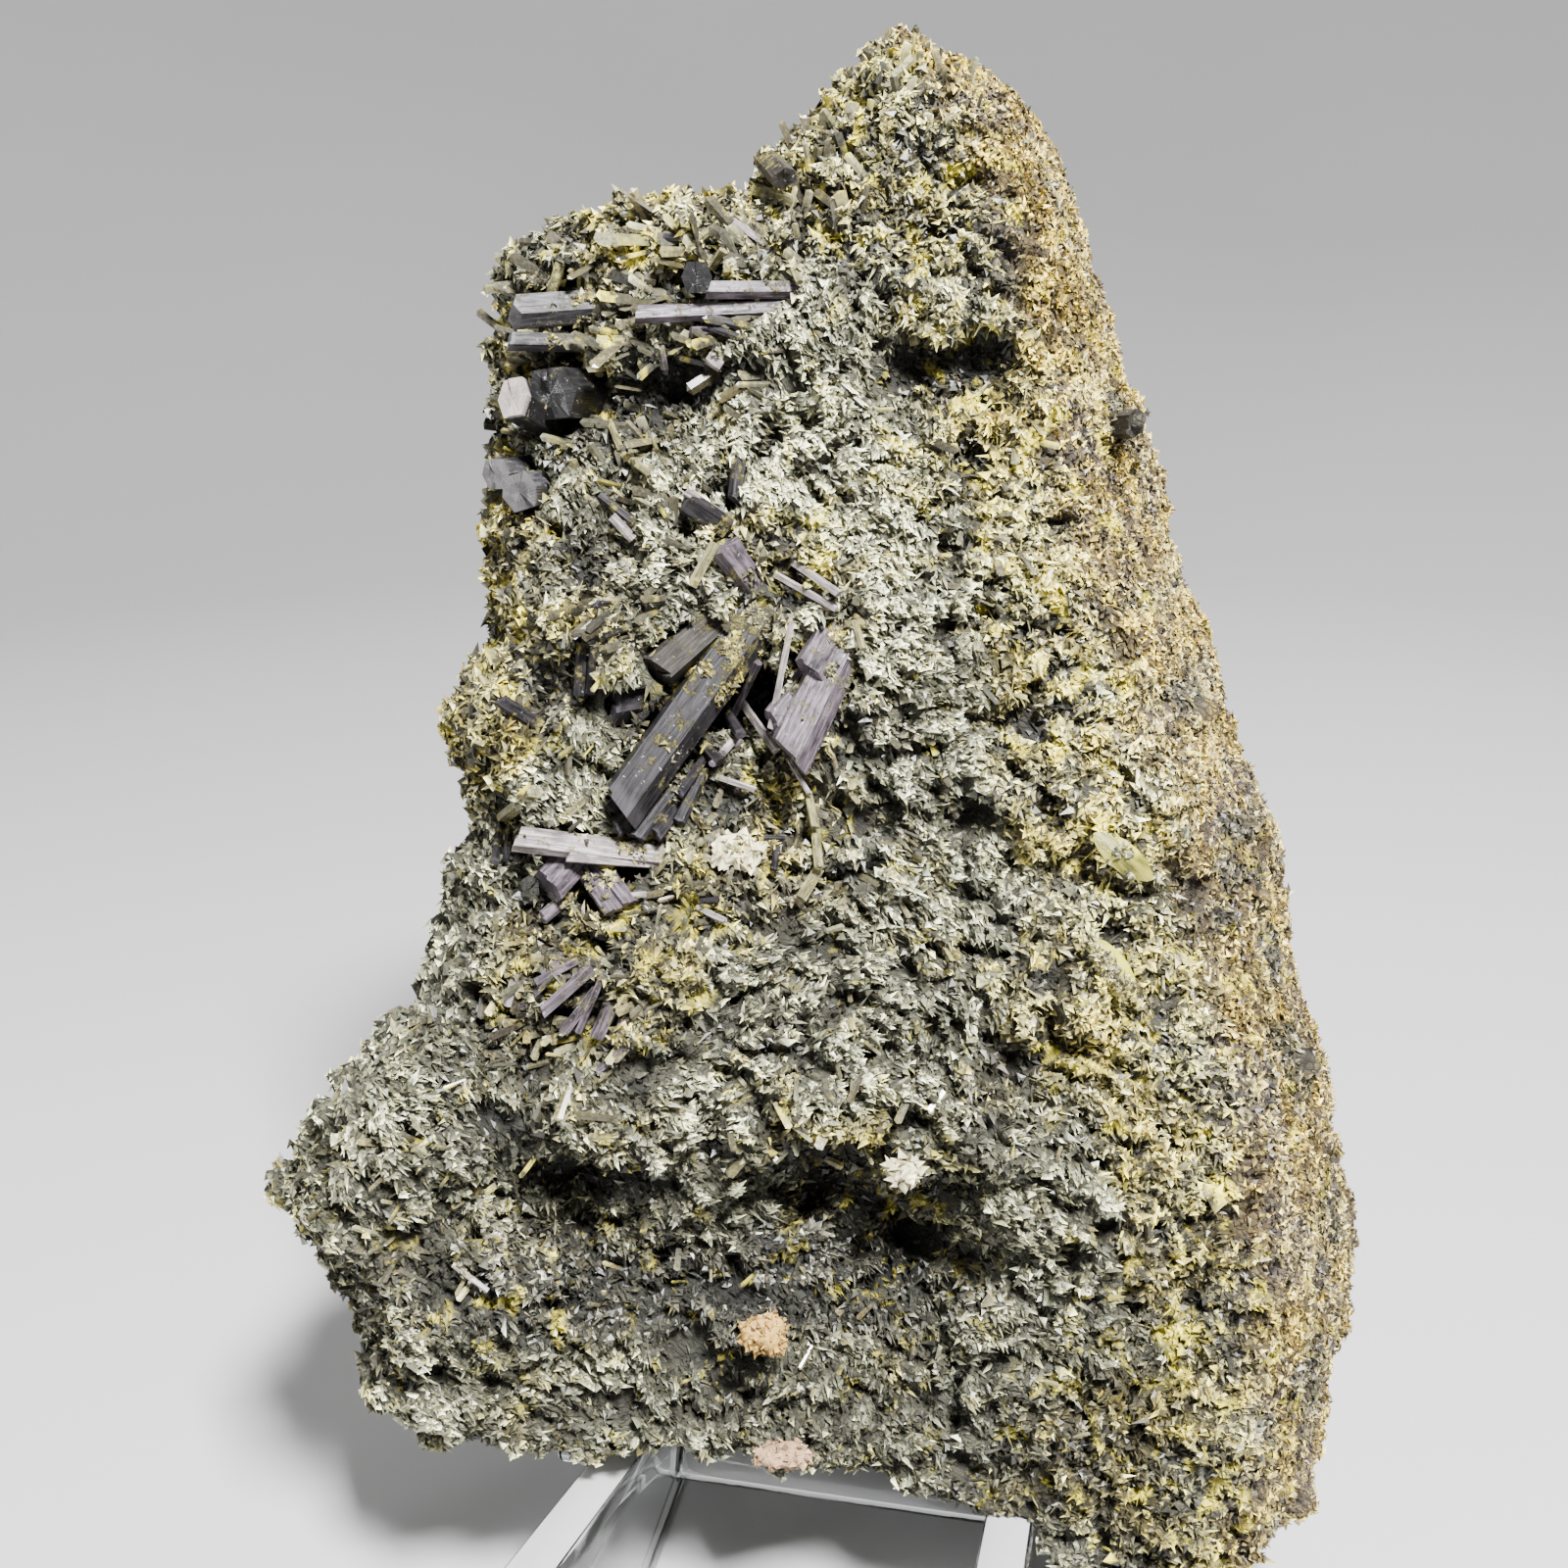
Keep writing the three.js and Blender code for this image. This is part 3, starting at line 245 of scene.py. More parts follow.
def finish_zones(points):
    """Shares of tan flank, yellow-green crust, grey felt and dark stone at points of the specimen; the dark
    share is partly painted shade below the ledge and in the upper-left hollow.
    """
    at = as_seen(points)
    ragged = noises(points, (5, 41, 2.2), (2, 42, 1.2))
    flank = smoothstep(past_ridge(at) + ragged, -6.5, 1.5)
    behind = smoothstep(-points[:, 2] + ragged, 12, 22)
    mottled = noises(points, (6, 43, 0.35), (2.4, 44, 0.3))
    felt = patches(at, FELT_PATCHES)
    yellow = patches(at, YELLOW_PATCHES)
    dark = patches(at, DARK_AND_SHADE_PATCHES)
    yellow_share = smoothstep(yellow - 0.6 * felt + mottled + 0.2, 0.0, 0.8)
    yellow_share = np.where(behind > 0.5, smoothstep(mottled, -0.2, 0.6), yellow_share)
    tan_share = np.maximum(flank, behind * 0.5)
    dark_and_shade_share = smoothstep(dark - 0.4 * felt - 0.3 * yellow + mottled, 0.3, 1.1) * (1 - flank)
    stained = smoothstep(patches(at, FLANK_PATCHES) + 1.3 * mottled, 0.32, 0.85) * (1 - behind)
    dark_and_shade_share = np.maximum(dark_and_shade_share, 0.9 * flank * stained)
    tan_share = tan_share * (1 - 0.85 * flank * stained)
    return [tan_share, yellow_share, dark_and_shade_share]


# Meshes

# Names of the values that give each point its finish; the dark share is partly painted shade.
SHARES = ("tan_share", "yellow_share", "dark_and_shade_share")


def new_object(name, mesh, material):
    piece = bpy.data.objects.new(name, mesh)
    bpy.context.scene.collection.objects.link(piece)
    mesh.materials.clear()
    mesh.materials.append(material)
    return piece


def dress(piece, slot, *nodes):
    """Puts a piece on the one body, in place of the frame's nodes of those names."""
    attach(piece, "root")
    if nodes:
        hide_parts(*nodes)


def mesh_from_arrays(name, points, corners, sides):
    """A mesh from its points, its corner list and the number of sides of each face."""
    mesh = bpy.data.meshes.new(name)
    mesh.vertices.add(len(points))
    mesh.vertices.foreach_set("co", np.ascontiguousarray(points, np.float32).ravel())
    mesh.loops.add(len(corners))
    mesh.loops.foreach_set("vertex_index", np.ascontiguousarray(corners, np.int32))
    starts = np.concatenate([[0], np.cumsum(sides)[:-1]]).astype(np.int32)
    mesh.polygons.add(len(sides))
    mesh.polygons.foreach_set("loop_start", starts)
    mesh.update(calc_edges=True)
    mesh.validate()
    mesh.shade_flat()
    return mesh


def set_values(mesh, name, values):
    layer = mesh.attributes.new(name, "FLOAT", "POINT")
    layer.data.foreach_set("value", np.ascontiguousarray(values, np.float32))


def worked(node, **modifiers):
    """The mesh of a CAD node once modifiers have worked on it, each given as its kind and its settings."""
    piece = bpy.data.objects.new(node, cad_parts[node].data.copy())
    bpy.context.scene.collection.objects.link(piece)
    for kind, settings in modifiers.items():
        modifier = piece.modifiers.new(kind, kind)
        for name, value in settings.items():
            setattr(modifier, name, value)
    bpy.context.view_layer.update()
    shown = piece.evaluated_get(bpy.context.evaluated_depsgraph_get())
    mesh = bpy.data.meshes.new_from_object(shown)
    bpy.data.objects.remove(piece)
    return mesh


def read(items, kind, each, number=np.float32):
    """A row of numbers for each of a mesh's items."""
    flat = np.empty(each * len(items), number)
    items.foreach_get(kind, flat)
    return flat.reshape(-1, each)


def places_of(mesh):
    return to_specimen(read(mesh.vertices, "co", 3))


def normals_of(mesh):
    return read(mesh.vertices, "normal", 3).astype(float) @ SPECIMEN_AXES.T


def triangles_of(mesh):
    mesh.calc_loop_triangles()
    return read(mesh.loop_triangles, "vertices", 3, np.int32)


# Shader node helpers

class Nodes:
    """Short ways to add linked nodes to one node tree."""

    def __init__(self, tree):
        self.tree = tree

    def add(self, kind, values=None, **settings):
        node = self.tree.nodes.new(kind)
        for name, value in settings.items():
            setattr(node, name, value)
        for name, value in (values or {}).items():
            socket = node.inputs[name]
            if isinstance(value, bpy.types.NodeSocket):
                self.tree.links.new(value, socket)
            else:
                socket.default_value = value
        return node

    def maths(self, operation, first, second, clamp=False):
        values = {0: first, 1: second}
        return self.add("ShaderNodeMath", values, operation=operation, use_clamp=clamp).outputs[0]

    def plus(self, first, second, clamp=False):
        return self.maths("ADD", first, second, clamp)

    def times(self, first, second, clamp=False):
        return self.maths("MULTIPLY", first, second, clamp)

    def noise(self, place, scale, detail=3.0, roughness=0.55):
        values = {"Vector": place, "Scale": scale, "Detail": detail, "Roughness": roughness}
        return self.add("ShaderNodeTexNoise", values).outputs["Fac"]

    def spread(self, value, low, high, to_low=0.0, to_high=1.0):
        values = {"Value": value, "From Min": low, "From Max": high, "To Min": to_low, "To Max": to_high}
        return self.add("ShaderNodeMapRange", values).outputs["Result"]

    def blend(self, share, first, second, mode="MIX"):
        """Two colours mixed. The node's colour sockets have the numbers 6 and 7, and its result 2."""
        values = {0: share}
        for index, colour in ((6, first), (7, second)):
            values[index] = colour if isinstance(colour, bpy.types.NodeSocket) else (*colour, 1)
        return self.add("ShaderNodeMix", values, data_type="RGBA", blend_type=mode).outputs[2]

    def ramp(self, value, stops):
        node = self.add("ShaderNodeValToRGB", {"Fac": value})
        elements = node.color_ramp.elements
        while len(elements) < len(stops):
            elements.new(0.5)
        for element, (at, colour) in zip(elements, stops):
            element.position = at
            element.color = (*colour, 1)
        return node.outputs["Color"]

    def value_of(self, name):
        return self.add("ShaderNodeAttribute", attribute_name=name).outputs["Fac"]

    def place(self):
        return self.add("ShaderNodeTexCoord").outputs["Object"]

    def stretched(self, place, turn, scale):
        """Places turned about the y axis and drawn out, so that noise made from them has a lie."""
        values = {"Vector": place, "Rotation": (0, turn, 0), "Scale": scale}
        return self.add("ShaderNodeMapping", values, vector_type="TEXTURE").outputs[0]

    def bump(self, height, strength, distance):
        values = {"Height": height, "Strength": strength, "Distance": distance}
        return self.add("ShaderNodeBump", values).outputs["Normal"]

    def group(self, tree, **values):
        return self.add("ShaderNodeGroup", values, node_tree=tree)

    def feed(self, sockets, **values):
        """Links results to named sockets, with _ in place of a space."""
        for name, value in values.items():
            self.tree.links.new(value, sockets[name.replace("_", " ")])


def new_group(name, inputs, outputs):
    """A node group with named sockets: "Place" is a vector, "Color" a colour, every other one a value."""
    tree = bpy.data.node_groups.new(name, "ShaderNodeTree")
    kinds = {"Place": "NodeSocketVector", "Color": "NodeSocketColor"}
    for side, sockets in (("INPUT", inputs), ("OUTPUT", outputs)):
        for socket in sockets:
            kind = kinds.get(socket, "NodeSocketFloat")
            tree.interface.new_socket(name=socket, in_out=side, socket_type=kind)
    nodes = Nodes(tree)
    return tree, nodes, nodes.add("NodeGroupInput").outputs, nodes.add("NodeGroupOutput").inputs


def new_material(name, **values):
    material = bpy.data.materials.new(name)
    material.use_nodes = True
    shader = material.node_tree.nodes["Principled BSDF"]
    for socket, value in values.items():
        shader.inputs[socket.replace("_", " ")].default_value = value
    return material, Nodes(material.node_tree), shader


# Colours of the matrix from dark to light: each stop's place on the tone and its colour.
FELT_STOPS = [
    (0.0, (0.015, 0.014, 0.01)), (0.3, (0.06, 0.06, 0.039)),
    (0.62, (0.195, 0.201, 0.132)), (1.0, (0.95, 0.96, 0.64)),
]
CRUST_STOPS = [
    (0.0, (0.013, 0.012, 0.008)), (0.3, (0.052, 0.046, 0.026)),
    (0.62, (0.265, 0.23, 0.075)), (1.0, (1.0, 0.87, 0.17)),
]
FLANK_STOPS = [
    (0.0, (0.02, 0.016, 0.012)), (0.3, (0.09, 0.066, 0.03)),
    (0.62, (0.41, 0.315, 0.07)), (1.0, (1.0, 0.83, 0.2)),
]
# Dark stone colours, which also paint shade into the pits, below the ledge and in the upper-left hollow.
DARK_STOPS = [
    (0.0, (0.005, 0.005, 0.004)), (0.4, (0.035, 0.034, 0.026)),
    (0.75, (0.14, 0.137, 0.107)), (1.0, (0.62, 0.61, 0.53)),
]
# Colour of the brightest specks in the crust.
SULPHUR = (0.78, 0.67, 0.07)


def make_mineral_colours():
    """Colour of the matrix from a light-to-dark tone and the shares of its four finishes."""
    inputs = ["Tone", "Tan", "Yellow", "Dark", "Place"]
    tree, nodes, given, result = new_group("Mineral colours", inputs, ["Color"])
    felt, crust, flank, dark = (
        nodes.ramp(given["Tone"], stops) for stops in (FELT_STOPS, CRUST_STOPS, FLANK_STOPS, DARK_STOPS)
    )
    golden = nodes.spread(nodes.noise(given["Place"], 110, 4, 0.6), 0.4, 0.6)
    flank = nodes.blend(1.0, flank, nodes.blend(golden, (0.9, 0.93, 1.35), (1.05, 0.95, 0.5)), "MULTIPLY")
    crust = nodes.blend(1.0, crust, nodes.blend(golden, (0.9, 0.97, 1.3), (1.05, 0.98, 0.6)), "MULTIPLY")
    colour = nodes.blend(given["Yellow"], felt, crust)
    colour = nodes.blend(given["Dark"], colour, dark)
    colour = nodes.blend(given["Tan"], colour, flank)
    sulphur = nodes.spread(nodes.noise(given["Place"], 300, 4), 0.57, 0.68)
    sulphur = nodes.times(sulphur, given["Yellow"], clamp=True)
    nodes.feed(result, Color=nodes.blend(nodes.times(sulphur, 0.7), colour, SULPHUR))
    return tree


mineral_colours = make_mineral_colours()


def make_stone_grain():
    """The small grain of the stone: a light-to-dark tone and a height, drawn out along the felt's lie, the
    tone darkened along the seams between flakes as painted shade.
    """
    tree, nodes, given, result = new_group("Stone grain", ["Place"], ["Tone", "Height"])
    drawn = nodes.stretched(given["Place"], 0.75, (1.7, 1, 0.85))
    cloud = nodes.add("ShaderNodeTexNoise", {"Vector": given["Place"], "Scale": 300, "Detail": 2})
    bend = {0: cloud.outputs["Color"], "Scale": 0.0022}
    bend = nodes.add("ShaderNodeVectorMath", bend, operation="SCALE").outputs[0]
    drawn = nodes.add("ShaderNodeVectorMath", {0: drawn, 1: bend}, operation="ADD").outputs[0]
    fibre = nodes.noise(drawn, 900, 6, 0.8)
    cells = {"Vector": drawn, "Scale": 1300}
    flakes = nodes.add("ShaderNodeTexVoronoi", cells)
    edges = nodes.add("ShaderNodeTexVoronoi", cells, feature="DISTANCE_TO_EDGE")
    seam = nodes.spread(edges.outputs["Distance"], 0, 0.16, 0.25, 1)
    tone = nodes.times(nodes.spread(fibre, 0.3, 0.7), 0.6)
    tone = nodes.plus(tone, nodes.times(flakes.outputs["Color"], 0.55))
    height = nodes.plus(fibre, nodes.times(seam, 0.35))
    # Painted shade: the tone is darker along the seams between the flakes.
    nodes.feed(result, Tone=nodes.times(tone, seam), Height=height)
    return tree


stone_grain = make_stone_grain()


def make_matrix_material(name, roughness, of_grains=True):
    """A material of the matrix. Its tone comes from each grain, or from noise on the bare stone darkened as
    painted shade in its creases and pits.
    """
    material, nodes, shader = new_material(name, Roughness=roughness, Specular_IOR_Level=0.3)
    place = nodes.place()
    if of_grains:
        fleck = nodes.spread(nodes.noise(place, 2600, 3, 0.7), 0.3, 0.7, -0.14, 0.14)
        tone = nodes.plus(nodes.value_of("grain_tone"), fleck)
    else:
        grain = nodes.group(stone_grain, Place=place)
        # Painted shade: the bare stone is darker where the relief is low, in its creases and pits.
        raised = nodes.spread(nodes.value_of("crevice_shade"), 0.05, 0.8, 0.08, 0.58)
        tone = nodes.times(grain.outputs["Tone"], raised)
        nodes.feed(shader.inputs, Normal=nodes.bump(grain.outputs["Height"], 1.0, 0.0007))
    tan, yellow, dark = (nodes.value_of(label) for label in SHARES)
    colours = nodes.group(mineral_colours, Tone=tone, Tan=tan, Yellow=yellow, Dark=dark, Place=place)
    nodes.feed(shader.inputs, Base_Color=colours.outputs["Color"])
    return material


bare_stone = make_matrix_material("bare_stone", 0.85, of_grains=False)
grain_finish = make_matrix_material("grain_finish", 0.4)
blade_finish = make_matrix_material("blade_finish", 0.22)


# Crystals: from, to, width, thickness, roll, tip, tilt, with x, y, z of each end as seen.
CENTRE_PRISMS = [
    ((-1.5, 18.6, -1.5), (-16.5, -2.2, 4.6), 5, 4.6, 8, "break", 0.35),
    ((-12.4, 2.6, 2), (-18.6, -3.4, 4.4), 1.5, 0.8, 20, "point", 0),
    ((-11.6, 1.4, 2), (-17, -4.6, 4.8), 1.7, 0.9, -10, "break", 0.3),
    ((-10.4, 0.6, 1.6), (-15, -5.4, 4.4), 1.8, 1, 15, "break", -0.3),
    ((-9, 0.2, 1), (-13, -5.2, 4), 1.6, 1, -20, "break", 0.2),
    ((-8.2, 1.4, 0.6), (-10.8, -4, 3.6), 1.4, 1, 10, "wedge", 0.3),
    ((-11, 9.6, -2), (-17.6, 8.4, 2.6), 5, 3.6, 6, "break", 0.2),
]
CRUSTED_PRISMS = [((-3, 20.5, -3), (-13, 11.6, 3), 4.4, 4, -10, "break", -0.3)]
VIOLET_PRISMS = [
    ((7.2, 16.6, 1), (0.6, 3, 5), 4.9, 4.2, 14, "break", 0.4),
    ((6, 17.4, 0.4), (2.6, 11.6, 4.4), 3.6, 2.4, 10, "break", 0.2),
    ((3.6, 12.4, 0), (-1.2, 6.4, 3.6), 2.6, 2, -10, "break", 0.3),
    ((-2.5, 19.5, 0), (-6, 24.2, 4), 3.4, 2.2, 15, "break", 0.1),
    ((-20.6, -6.6, 0), (-24, -10.4, 4), 4, 3, 20, "break", 0.2),
    ((-20.4, -8.8, 2), (-17.4, -13, 5), 2, 1, 10, "break", 0.3),
    ((-18.8, -8.2, 2), (-15.8, -12.2, 4.6), 1.8, 1, -15, "break", 0.2),
    ((-22, -11.4, 2), (-24.6, -13.6, 4.4), 1.4, 0.9, 0, "break", 0.2),
]
CROSS_PRISM = [
    ((-10.6, -7.6, 1), (-27.2, -5.6, 5.6), 2.6, 2.2, 10, "break", 0.2),
    ((-11.4, -8.2, 1.4), (-22, -7.4, 5), 1.2, 0.9, -10, "break", 0.2),
]
UPPER_LEFT_BLOCKS = [
    ((-19.5, 48.7, -2), (-27.9, 48.1, 1.4), 3.5, 3.2, 12, "wedge", 0.5),
    ((-19.8, 45, -3), (-28, 45.2, 0.6), 2, 2.2, 0, "break", 0.2),
]
UPPER_LONG_PRISMS = [
    ((1.4, 48.6, -1), (-15, 47.9, 2.8), 1.9, 1.7, 0, "break", 0.2),
    ((4.2, 50.4, -1), (-7.8, 50.4, 2.6), 1.9, 1.7, 10, "break", 0.2),
    ((-2, 46.4, -2), (-9.6, 46.1, 1.4), 1.2, 1.1, 0, "wedge", 0.3),
]
BARREL_CRYSTAL = [((-21.4, 35.8, -9), (-27.6, 39.4, 2), 4, 3.8, 0, "break", 0.1)]
DARK_ENDS = [
    ((-18.6, 39.4, -9), (-23.6, 39.8, 0.6), 6.4, 5, 0, "break", 0.1),
    ((-8.9, 51.7, -6), (-8.9, 51.7, 4), 3.1, 3, 0, "break", 0.12),
]
LEFT_HEX_CRYSTALS = [
    ((-24, 30, -9), (-27, 29.8, 2.4), 4, 3.6, 15, "break", 0.25),
    ((-26, 32.2, -9), (-29.4, 31.6, -0.6), 3.2, 3, 0, "break", 0.1),
]
EDGE_CRYSTALS = [
    ((32, 36.4, -9), (35.8, 36.8, -4), 3, 2.4, 20, "break", 0.2),
    ((40, 8, -10), (42.8, 7.6, -4.4), 3, 2.4, -15, "wedge", 0.4),
    ((44, -6, -12), (48, -6.2, -7.6), 3.6, 3, 10, "break", 0.25),
    ((46, -12, -8), (48.6, -11.4, -5.4), 2.6, 2.2, 35, "break", 0.25),
    ((49, -28, -16), (52.6, -28.4, -9.6), 3.6, 3, 0, "break", 0.2),
    ((-2, 64, -4), (0, 61.8, 2.6), 2.6, 1.8, 20, "break", 0.2),
]
CRYSTALS = [
    *CENTRE_PRISMS, *CRUSTED_PRISMS, *VIOLET_PRISMS, *CROSS_PRISM, *UPPER_LEFT_BLOCKS, *UPPER_LONG_PRISMS,
    *BARREL_CRYSTAL, *DARK_ENDS, *LEFT_HEX_CRYSTALS, *EDGE_CRYSTALS,
]

# Single blades on the surface: x and y of the root, x and y of the tip, width, how far the tip stands out.
OLIVE_BLADES = [
    (-22.8, 53.2, -24.5, 47.6, 1.1, 2.6), (-19.8, 53.8, -20, 41, 1.0, 1.6),
    (-20.8, 53.4, -20.6, 46, 0.8, 1.2), (-18.8, 47, -18.9, 41, 1.0, 1), (0.4, 53.6, 1.6, 51.2, 0.8, 1.4),
    (-7.4, 52.6, -5.8, 55, 1, 1.8), (-9.6, 54.8, -7.6, 56.4, 0.9, 1.5), (-17.8, 37, -16.6, 34, 0.8, 1.4),
    (-16.4, 33.6, -13.6, 31.6, 0.8, 1.2), (-28.6, -3.4, -25.4, -0.8, 1.6, 1.2),
    (-22.8, -3.8, -20.4, -1.6, 1, 1), (7.2, 16.6, 8.3, 13.2, 0.8, 1.6), (2.4, -0.8, 3.2, -4.4, 0.9, 1.8),
    (3.2, -4.4, 3.6, -8.6, 1, 1.8), (3.6, -8.6, 1.2, -12.6, 1.3, 1.8), (-9.4, 20.2, -7, 24.6, 1.2, 2),
    (-3, 60.6, 1, 59.4, 1.4, 1.6), (10, 71, 13, 74, 1.2, 1.4),
]
PALE_BLADES = [
    (-5.6, 10.2, -0.8, 3.4, 1, 3.4), (0.8, 16.6, -1.4, 5.6, 0.7, 3.6), (-0.9, 21.4, 5.4, 17.8, 0.8, 1.6),
    (1, 22.6, 5.6, 19.4, 0.9, 1.6), (-2.6, 55.6, -5.8, 57.9, 1, 1.8), (-3.8, 57.6, -1.6, 58, 0.8, 1.4),
    (-7.8, 43.6, -5.4, 42, 1.4, 1.2), (-12.6, 44.6, -12.2, 42.4, 0.9, 1), (-6.2, 27.4, -10, 29.8, 0.9, 2.8),
    (-15.4, 25, -18.2, 28, 1.1, 2.2), (-5, 4.6, -6.6, 2.8, 0.9, 2), (0.4, 2.6, 2.6, -1, 0.6, 1.6),
    (-7, 0.8, -3, -0.6, 0.7, 1.4), (-16.4, -11.4, -13.6, -11.2, 0.7, 2), (-8.8, -12.6, -6, -14, 0.7, 1.2),
    (-33.8, -49, -29.8, -52, 0.6, 1.6), (-27.4, -19.4, -28.4, -23.4, 0.9, 1),
]
VIOLET_BLADES = [
    (-19.6, -18.8, -24.6, -23.2, 1.4, 1.2), (-21, -18, -26, -20.6, 0.9, 1),
    (-19.2, -21, -23, -26, 1.1, 1.1), (-18.4, -19.4, -21, -25.4, 0.8, 1),
    (-17.6, -22.6, -19.6, -27, 1.7, 0.9), (-16.4, -24, -17.2, -27.4, 1, 0.9),
    (-22.6, -17.4, -24.2, -19.6, 1.2, 1), (-24, -20, -27.4, -23.4, 0.8, 0.9),
    (-15.8, -26.4, -19, -29.4, 0.8, 0.8), (-2.6, 12.4, -5.4, 6.6, 0.9, 2.8), (-4.4, 4.4, -7.4, 2, 0.8, 2.4),
]
DARK_BLADES = [
    (-8.4, 55.6, -12.4, 55.8, 0.9, 1.4), (-3.5, 46.6, -8.5, 47.8, 1, 1.8), (-4, 45.4, -7.6, 46.6, 0.9, 1.4),
    (-5.8, 26, -10.2, 29, 2.6, 2), (-15.2, 26.6, -19.4, 30, 1, 1.4), (-4.6, 33, -5, 29, 1.6, 1),
    (-24.8, 5.8, -29, 8.6, 1.4, 1.8), (-25.2, 12.6, -27.6, 14, 1, 1.2), (-20.6, 14.4, -21, 8, 1.2, 1.6),
    (-19.4, 14, -20, 8.6, 0.9, 1.8), (-16.5, 17, -19.6, 16.2, 0.9, 1.2),
    (-16.2, 18.2, -19.2, 18.4, 0.8, 1.2), (-16, 16, -18.8, 14.9, 0.7, 1.2),
    (-28.9, -4, -29.5, -8, 0.9, 1.2), (-28, -4.4, -28.4, -8, 0.7, 1.3),
    (-8.6, -11.9, -6.2, -11.8, 0.8, 1.2), (-0.6, -5.2, -1, -8.8, 0.7, 1.4), (-2.8, -5.6, 0, -5.6, 0.8, 1),
    (-6.5, 13, -2.4, 8.6, 1.3, 2.4), (-7.2, 9.4, -4.4, 5, 1.2, 2.2), (-9.6, 5.6, -6, 1.6, 1.2, 2.4),
    (-5.4, 7, -1.6, 9.6, 1, 2.6), (-8, 2.8, -10.6, -1, 1, 2),
]


# Further than any clearance that counts, in millimetres.
FAR_AWAY = 99.0


def crystal_clearance(points):
    """How far points of the specimen are from the nearest large crystal's side, in millimetres."""
    clear = np.full(len(points), FAR_AWAY)
    for start_at, end_at, width, thickness, *_ in CRYSTALS:
        start, end = seen(*start_at), seen(*end_at)
        axis = end - start
        share = np.clip((points - start) @ axis / (axis @ axis), 0.15, 1)
        far = np.linalg.norm(points - start - share[:, None] * axis, axis=1)
        clear = np.minimum(clear, far - (width + thickness) / 4)
    return clear


# Bare stone under the grains

# Angle of the felt's lie across the front, and the broad swirl that bends it, as a noise.
FELT_LIE = -0.75
BROAD_SWIRL = (22, 81, 0.9)
# Cell of the remeshed stone, in metres.
ROCK_VOXEL = 0.00134
# The stand's plates in millimetres: half their thickness, how far back their middle is in their outline and
# where the seat meets the rest in it, back and up.
PLATE_HALF = 2.5
PLATE_MIDDLE_BACK = 11
SEAT_CORNER = (24.0, 7.6)
# In millimetres: how near to the plates and the large crystals the relief fades out, and how far off them
# a grain keeps.
STAND_ROOM = 2.5
CRYSTAL_ROOM = 2
GRAIN_OFF_STAND = 0.4
GRAIN_OFF_CRYSTAL = 0.12
# How deep the relief may go, as a share of the stone's thickness.
DEEPEST_SHARE = 0.3


def stand_clearance(points):
    """How far points of the specimen are from the stand's two plates, in millimetres."""
    world = to_world(points)
    clear = np.full(len(points), FAR_AWAY)
    backwards = np.array([math.sin(STAND_TURN), math.cos(STAND_TURN), 0])
    for name in ("stand_plate_left", "stand_plate_right"):
        low, high = (np.array(corner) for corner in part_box(name))
        from_middle = (world - (low + high) / 2) / MM
        side = np.abs(from_middle @ STAND_ACROSS) - PLATE_HALF
        back = from_middle @ backwards + PLATE_MIDDLE_BACK - SEAT_CORNER[0]
        lift = world[:, 2] / MM - SEAT_CORNER[1]
        above_seat = back * math.sin(LEAN) + lift * math.cos(LEAN)
        before_rest = lift * math.sin(LEAN) - back * math.cos(LEAN)
        clear = np.minimum(clear, np.maximum(side, np.minimum(above_seat, before_rest)))
    return clear


def finer_front(mesh):
    """Splits the faces that look forward, so that the front holds finer relief than the back."""
    work = bmesh.new()
    work.from_mesh(mesh)
    aside, _, outwards = (Vector(axis) for axis in SPECIMEN_AXES)
    edges = {
        edge for face in work.faces
        if face.normal.dot(outwards) + 0.5 * face.normal.dot(aside) > 0.12
        for edge in face.edges
    }
    bmesh.ops.subdivide_edges(work, edges=list(edges), cuts=1, use_grid_fill=True)
    bmesh.ops.triangulate(work, faces=work.faces)
    work.to_mesh(mesh)
    work.free()


def billow(points, cell, seed):
    """Uneven lumps with sharp creases between them, from 0 in a crease to about 1."""
    return np.clip(np.abs(smooth_noise(points, cell, seed)) * 2.4, 0, 1.2)


def drawn_along_flow(points):
    """Points squeezed so that noise made from them is drawn out along the lie of the felt."""
    angle = FELT_LIE + noises(points, BROAD_SWIRL)
    lengthwise = points[:, 0] * np.cos(angle) + points[:, 1] * np.sin(angle)
    crosswise = points[:, 1] * np.cos(angle) - points[:, 0] * np.sin(angle)
    return np.stack([lengthwise * 0.6, crosswise * 1.25, points[:, 2]], axis=1)


def stone_relief(points, flank):
    """Height of the crumbly relief in millimetres, and how far up it each point is, from 0 to 1, which
    later sets the painted shade of the creases.
    """
    warped = points + np.stack(
        [noises(points, (4.5, 50 + side, 1.6), (1.7, 53 + side, 0.6)) for side in range(3)], axis=1
    )
    drawn = drawn_along_flow(warped)
    lumps = crumb_relief(warped * np.array([0.9, 1.3, 1]), 9, 1)
    broad = billow(drawn, 6.5, 21)
    middling = billow(drawn, 3.1, 23)
    fine = billow(drawn, 1.6, 25)
    holes = smoothstep(smooth_noise(warped, 2.6, 71) + 0.5 * smooth_noise(points, 8, 72), 0.36, 0.7)
    height = 1.0 * (lumps - 0.7) + 1.5 * (broad - 0.7) + 1.4 * (middling - 0.6) + 1.15 * (fine - 0.6)
    height += 0.3 * smooth_noise(points, 1.1, 3) - 2.2 * holes
    raised = np.clip(0.06 * lumps + 0.18 * broad + 0.3 * middling + 0.42 * fine - 0.6 * holes, 0, 1)
    return height * (1 - 0.62 * flank), np.clip(raised + 0.22 * flank, 0, 1)


# The most that counts as thickness, in millimetres, and where a measuring ray starts, in metres inwards.
THICKEST = 8.0
RAY_START = 0.00005


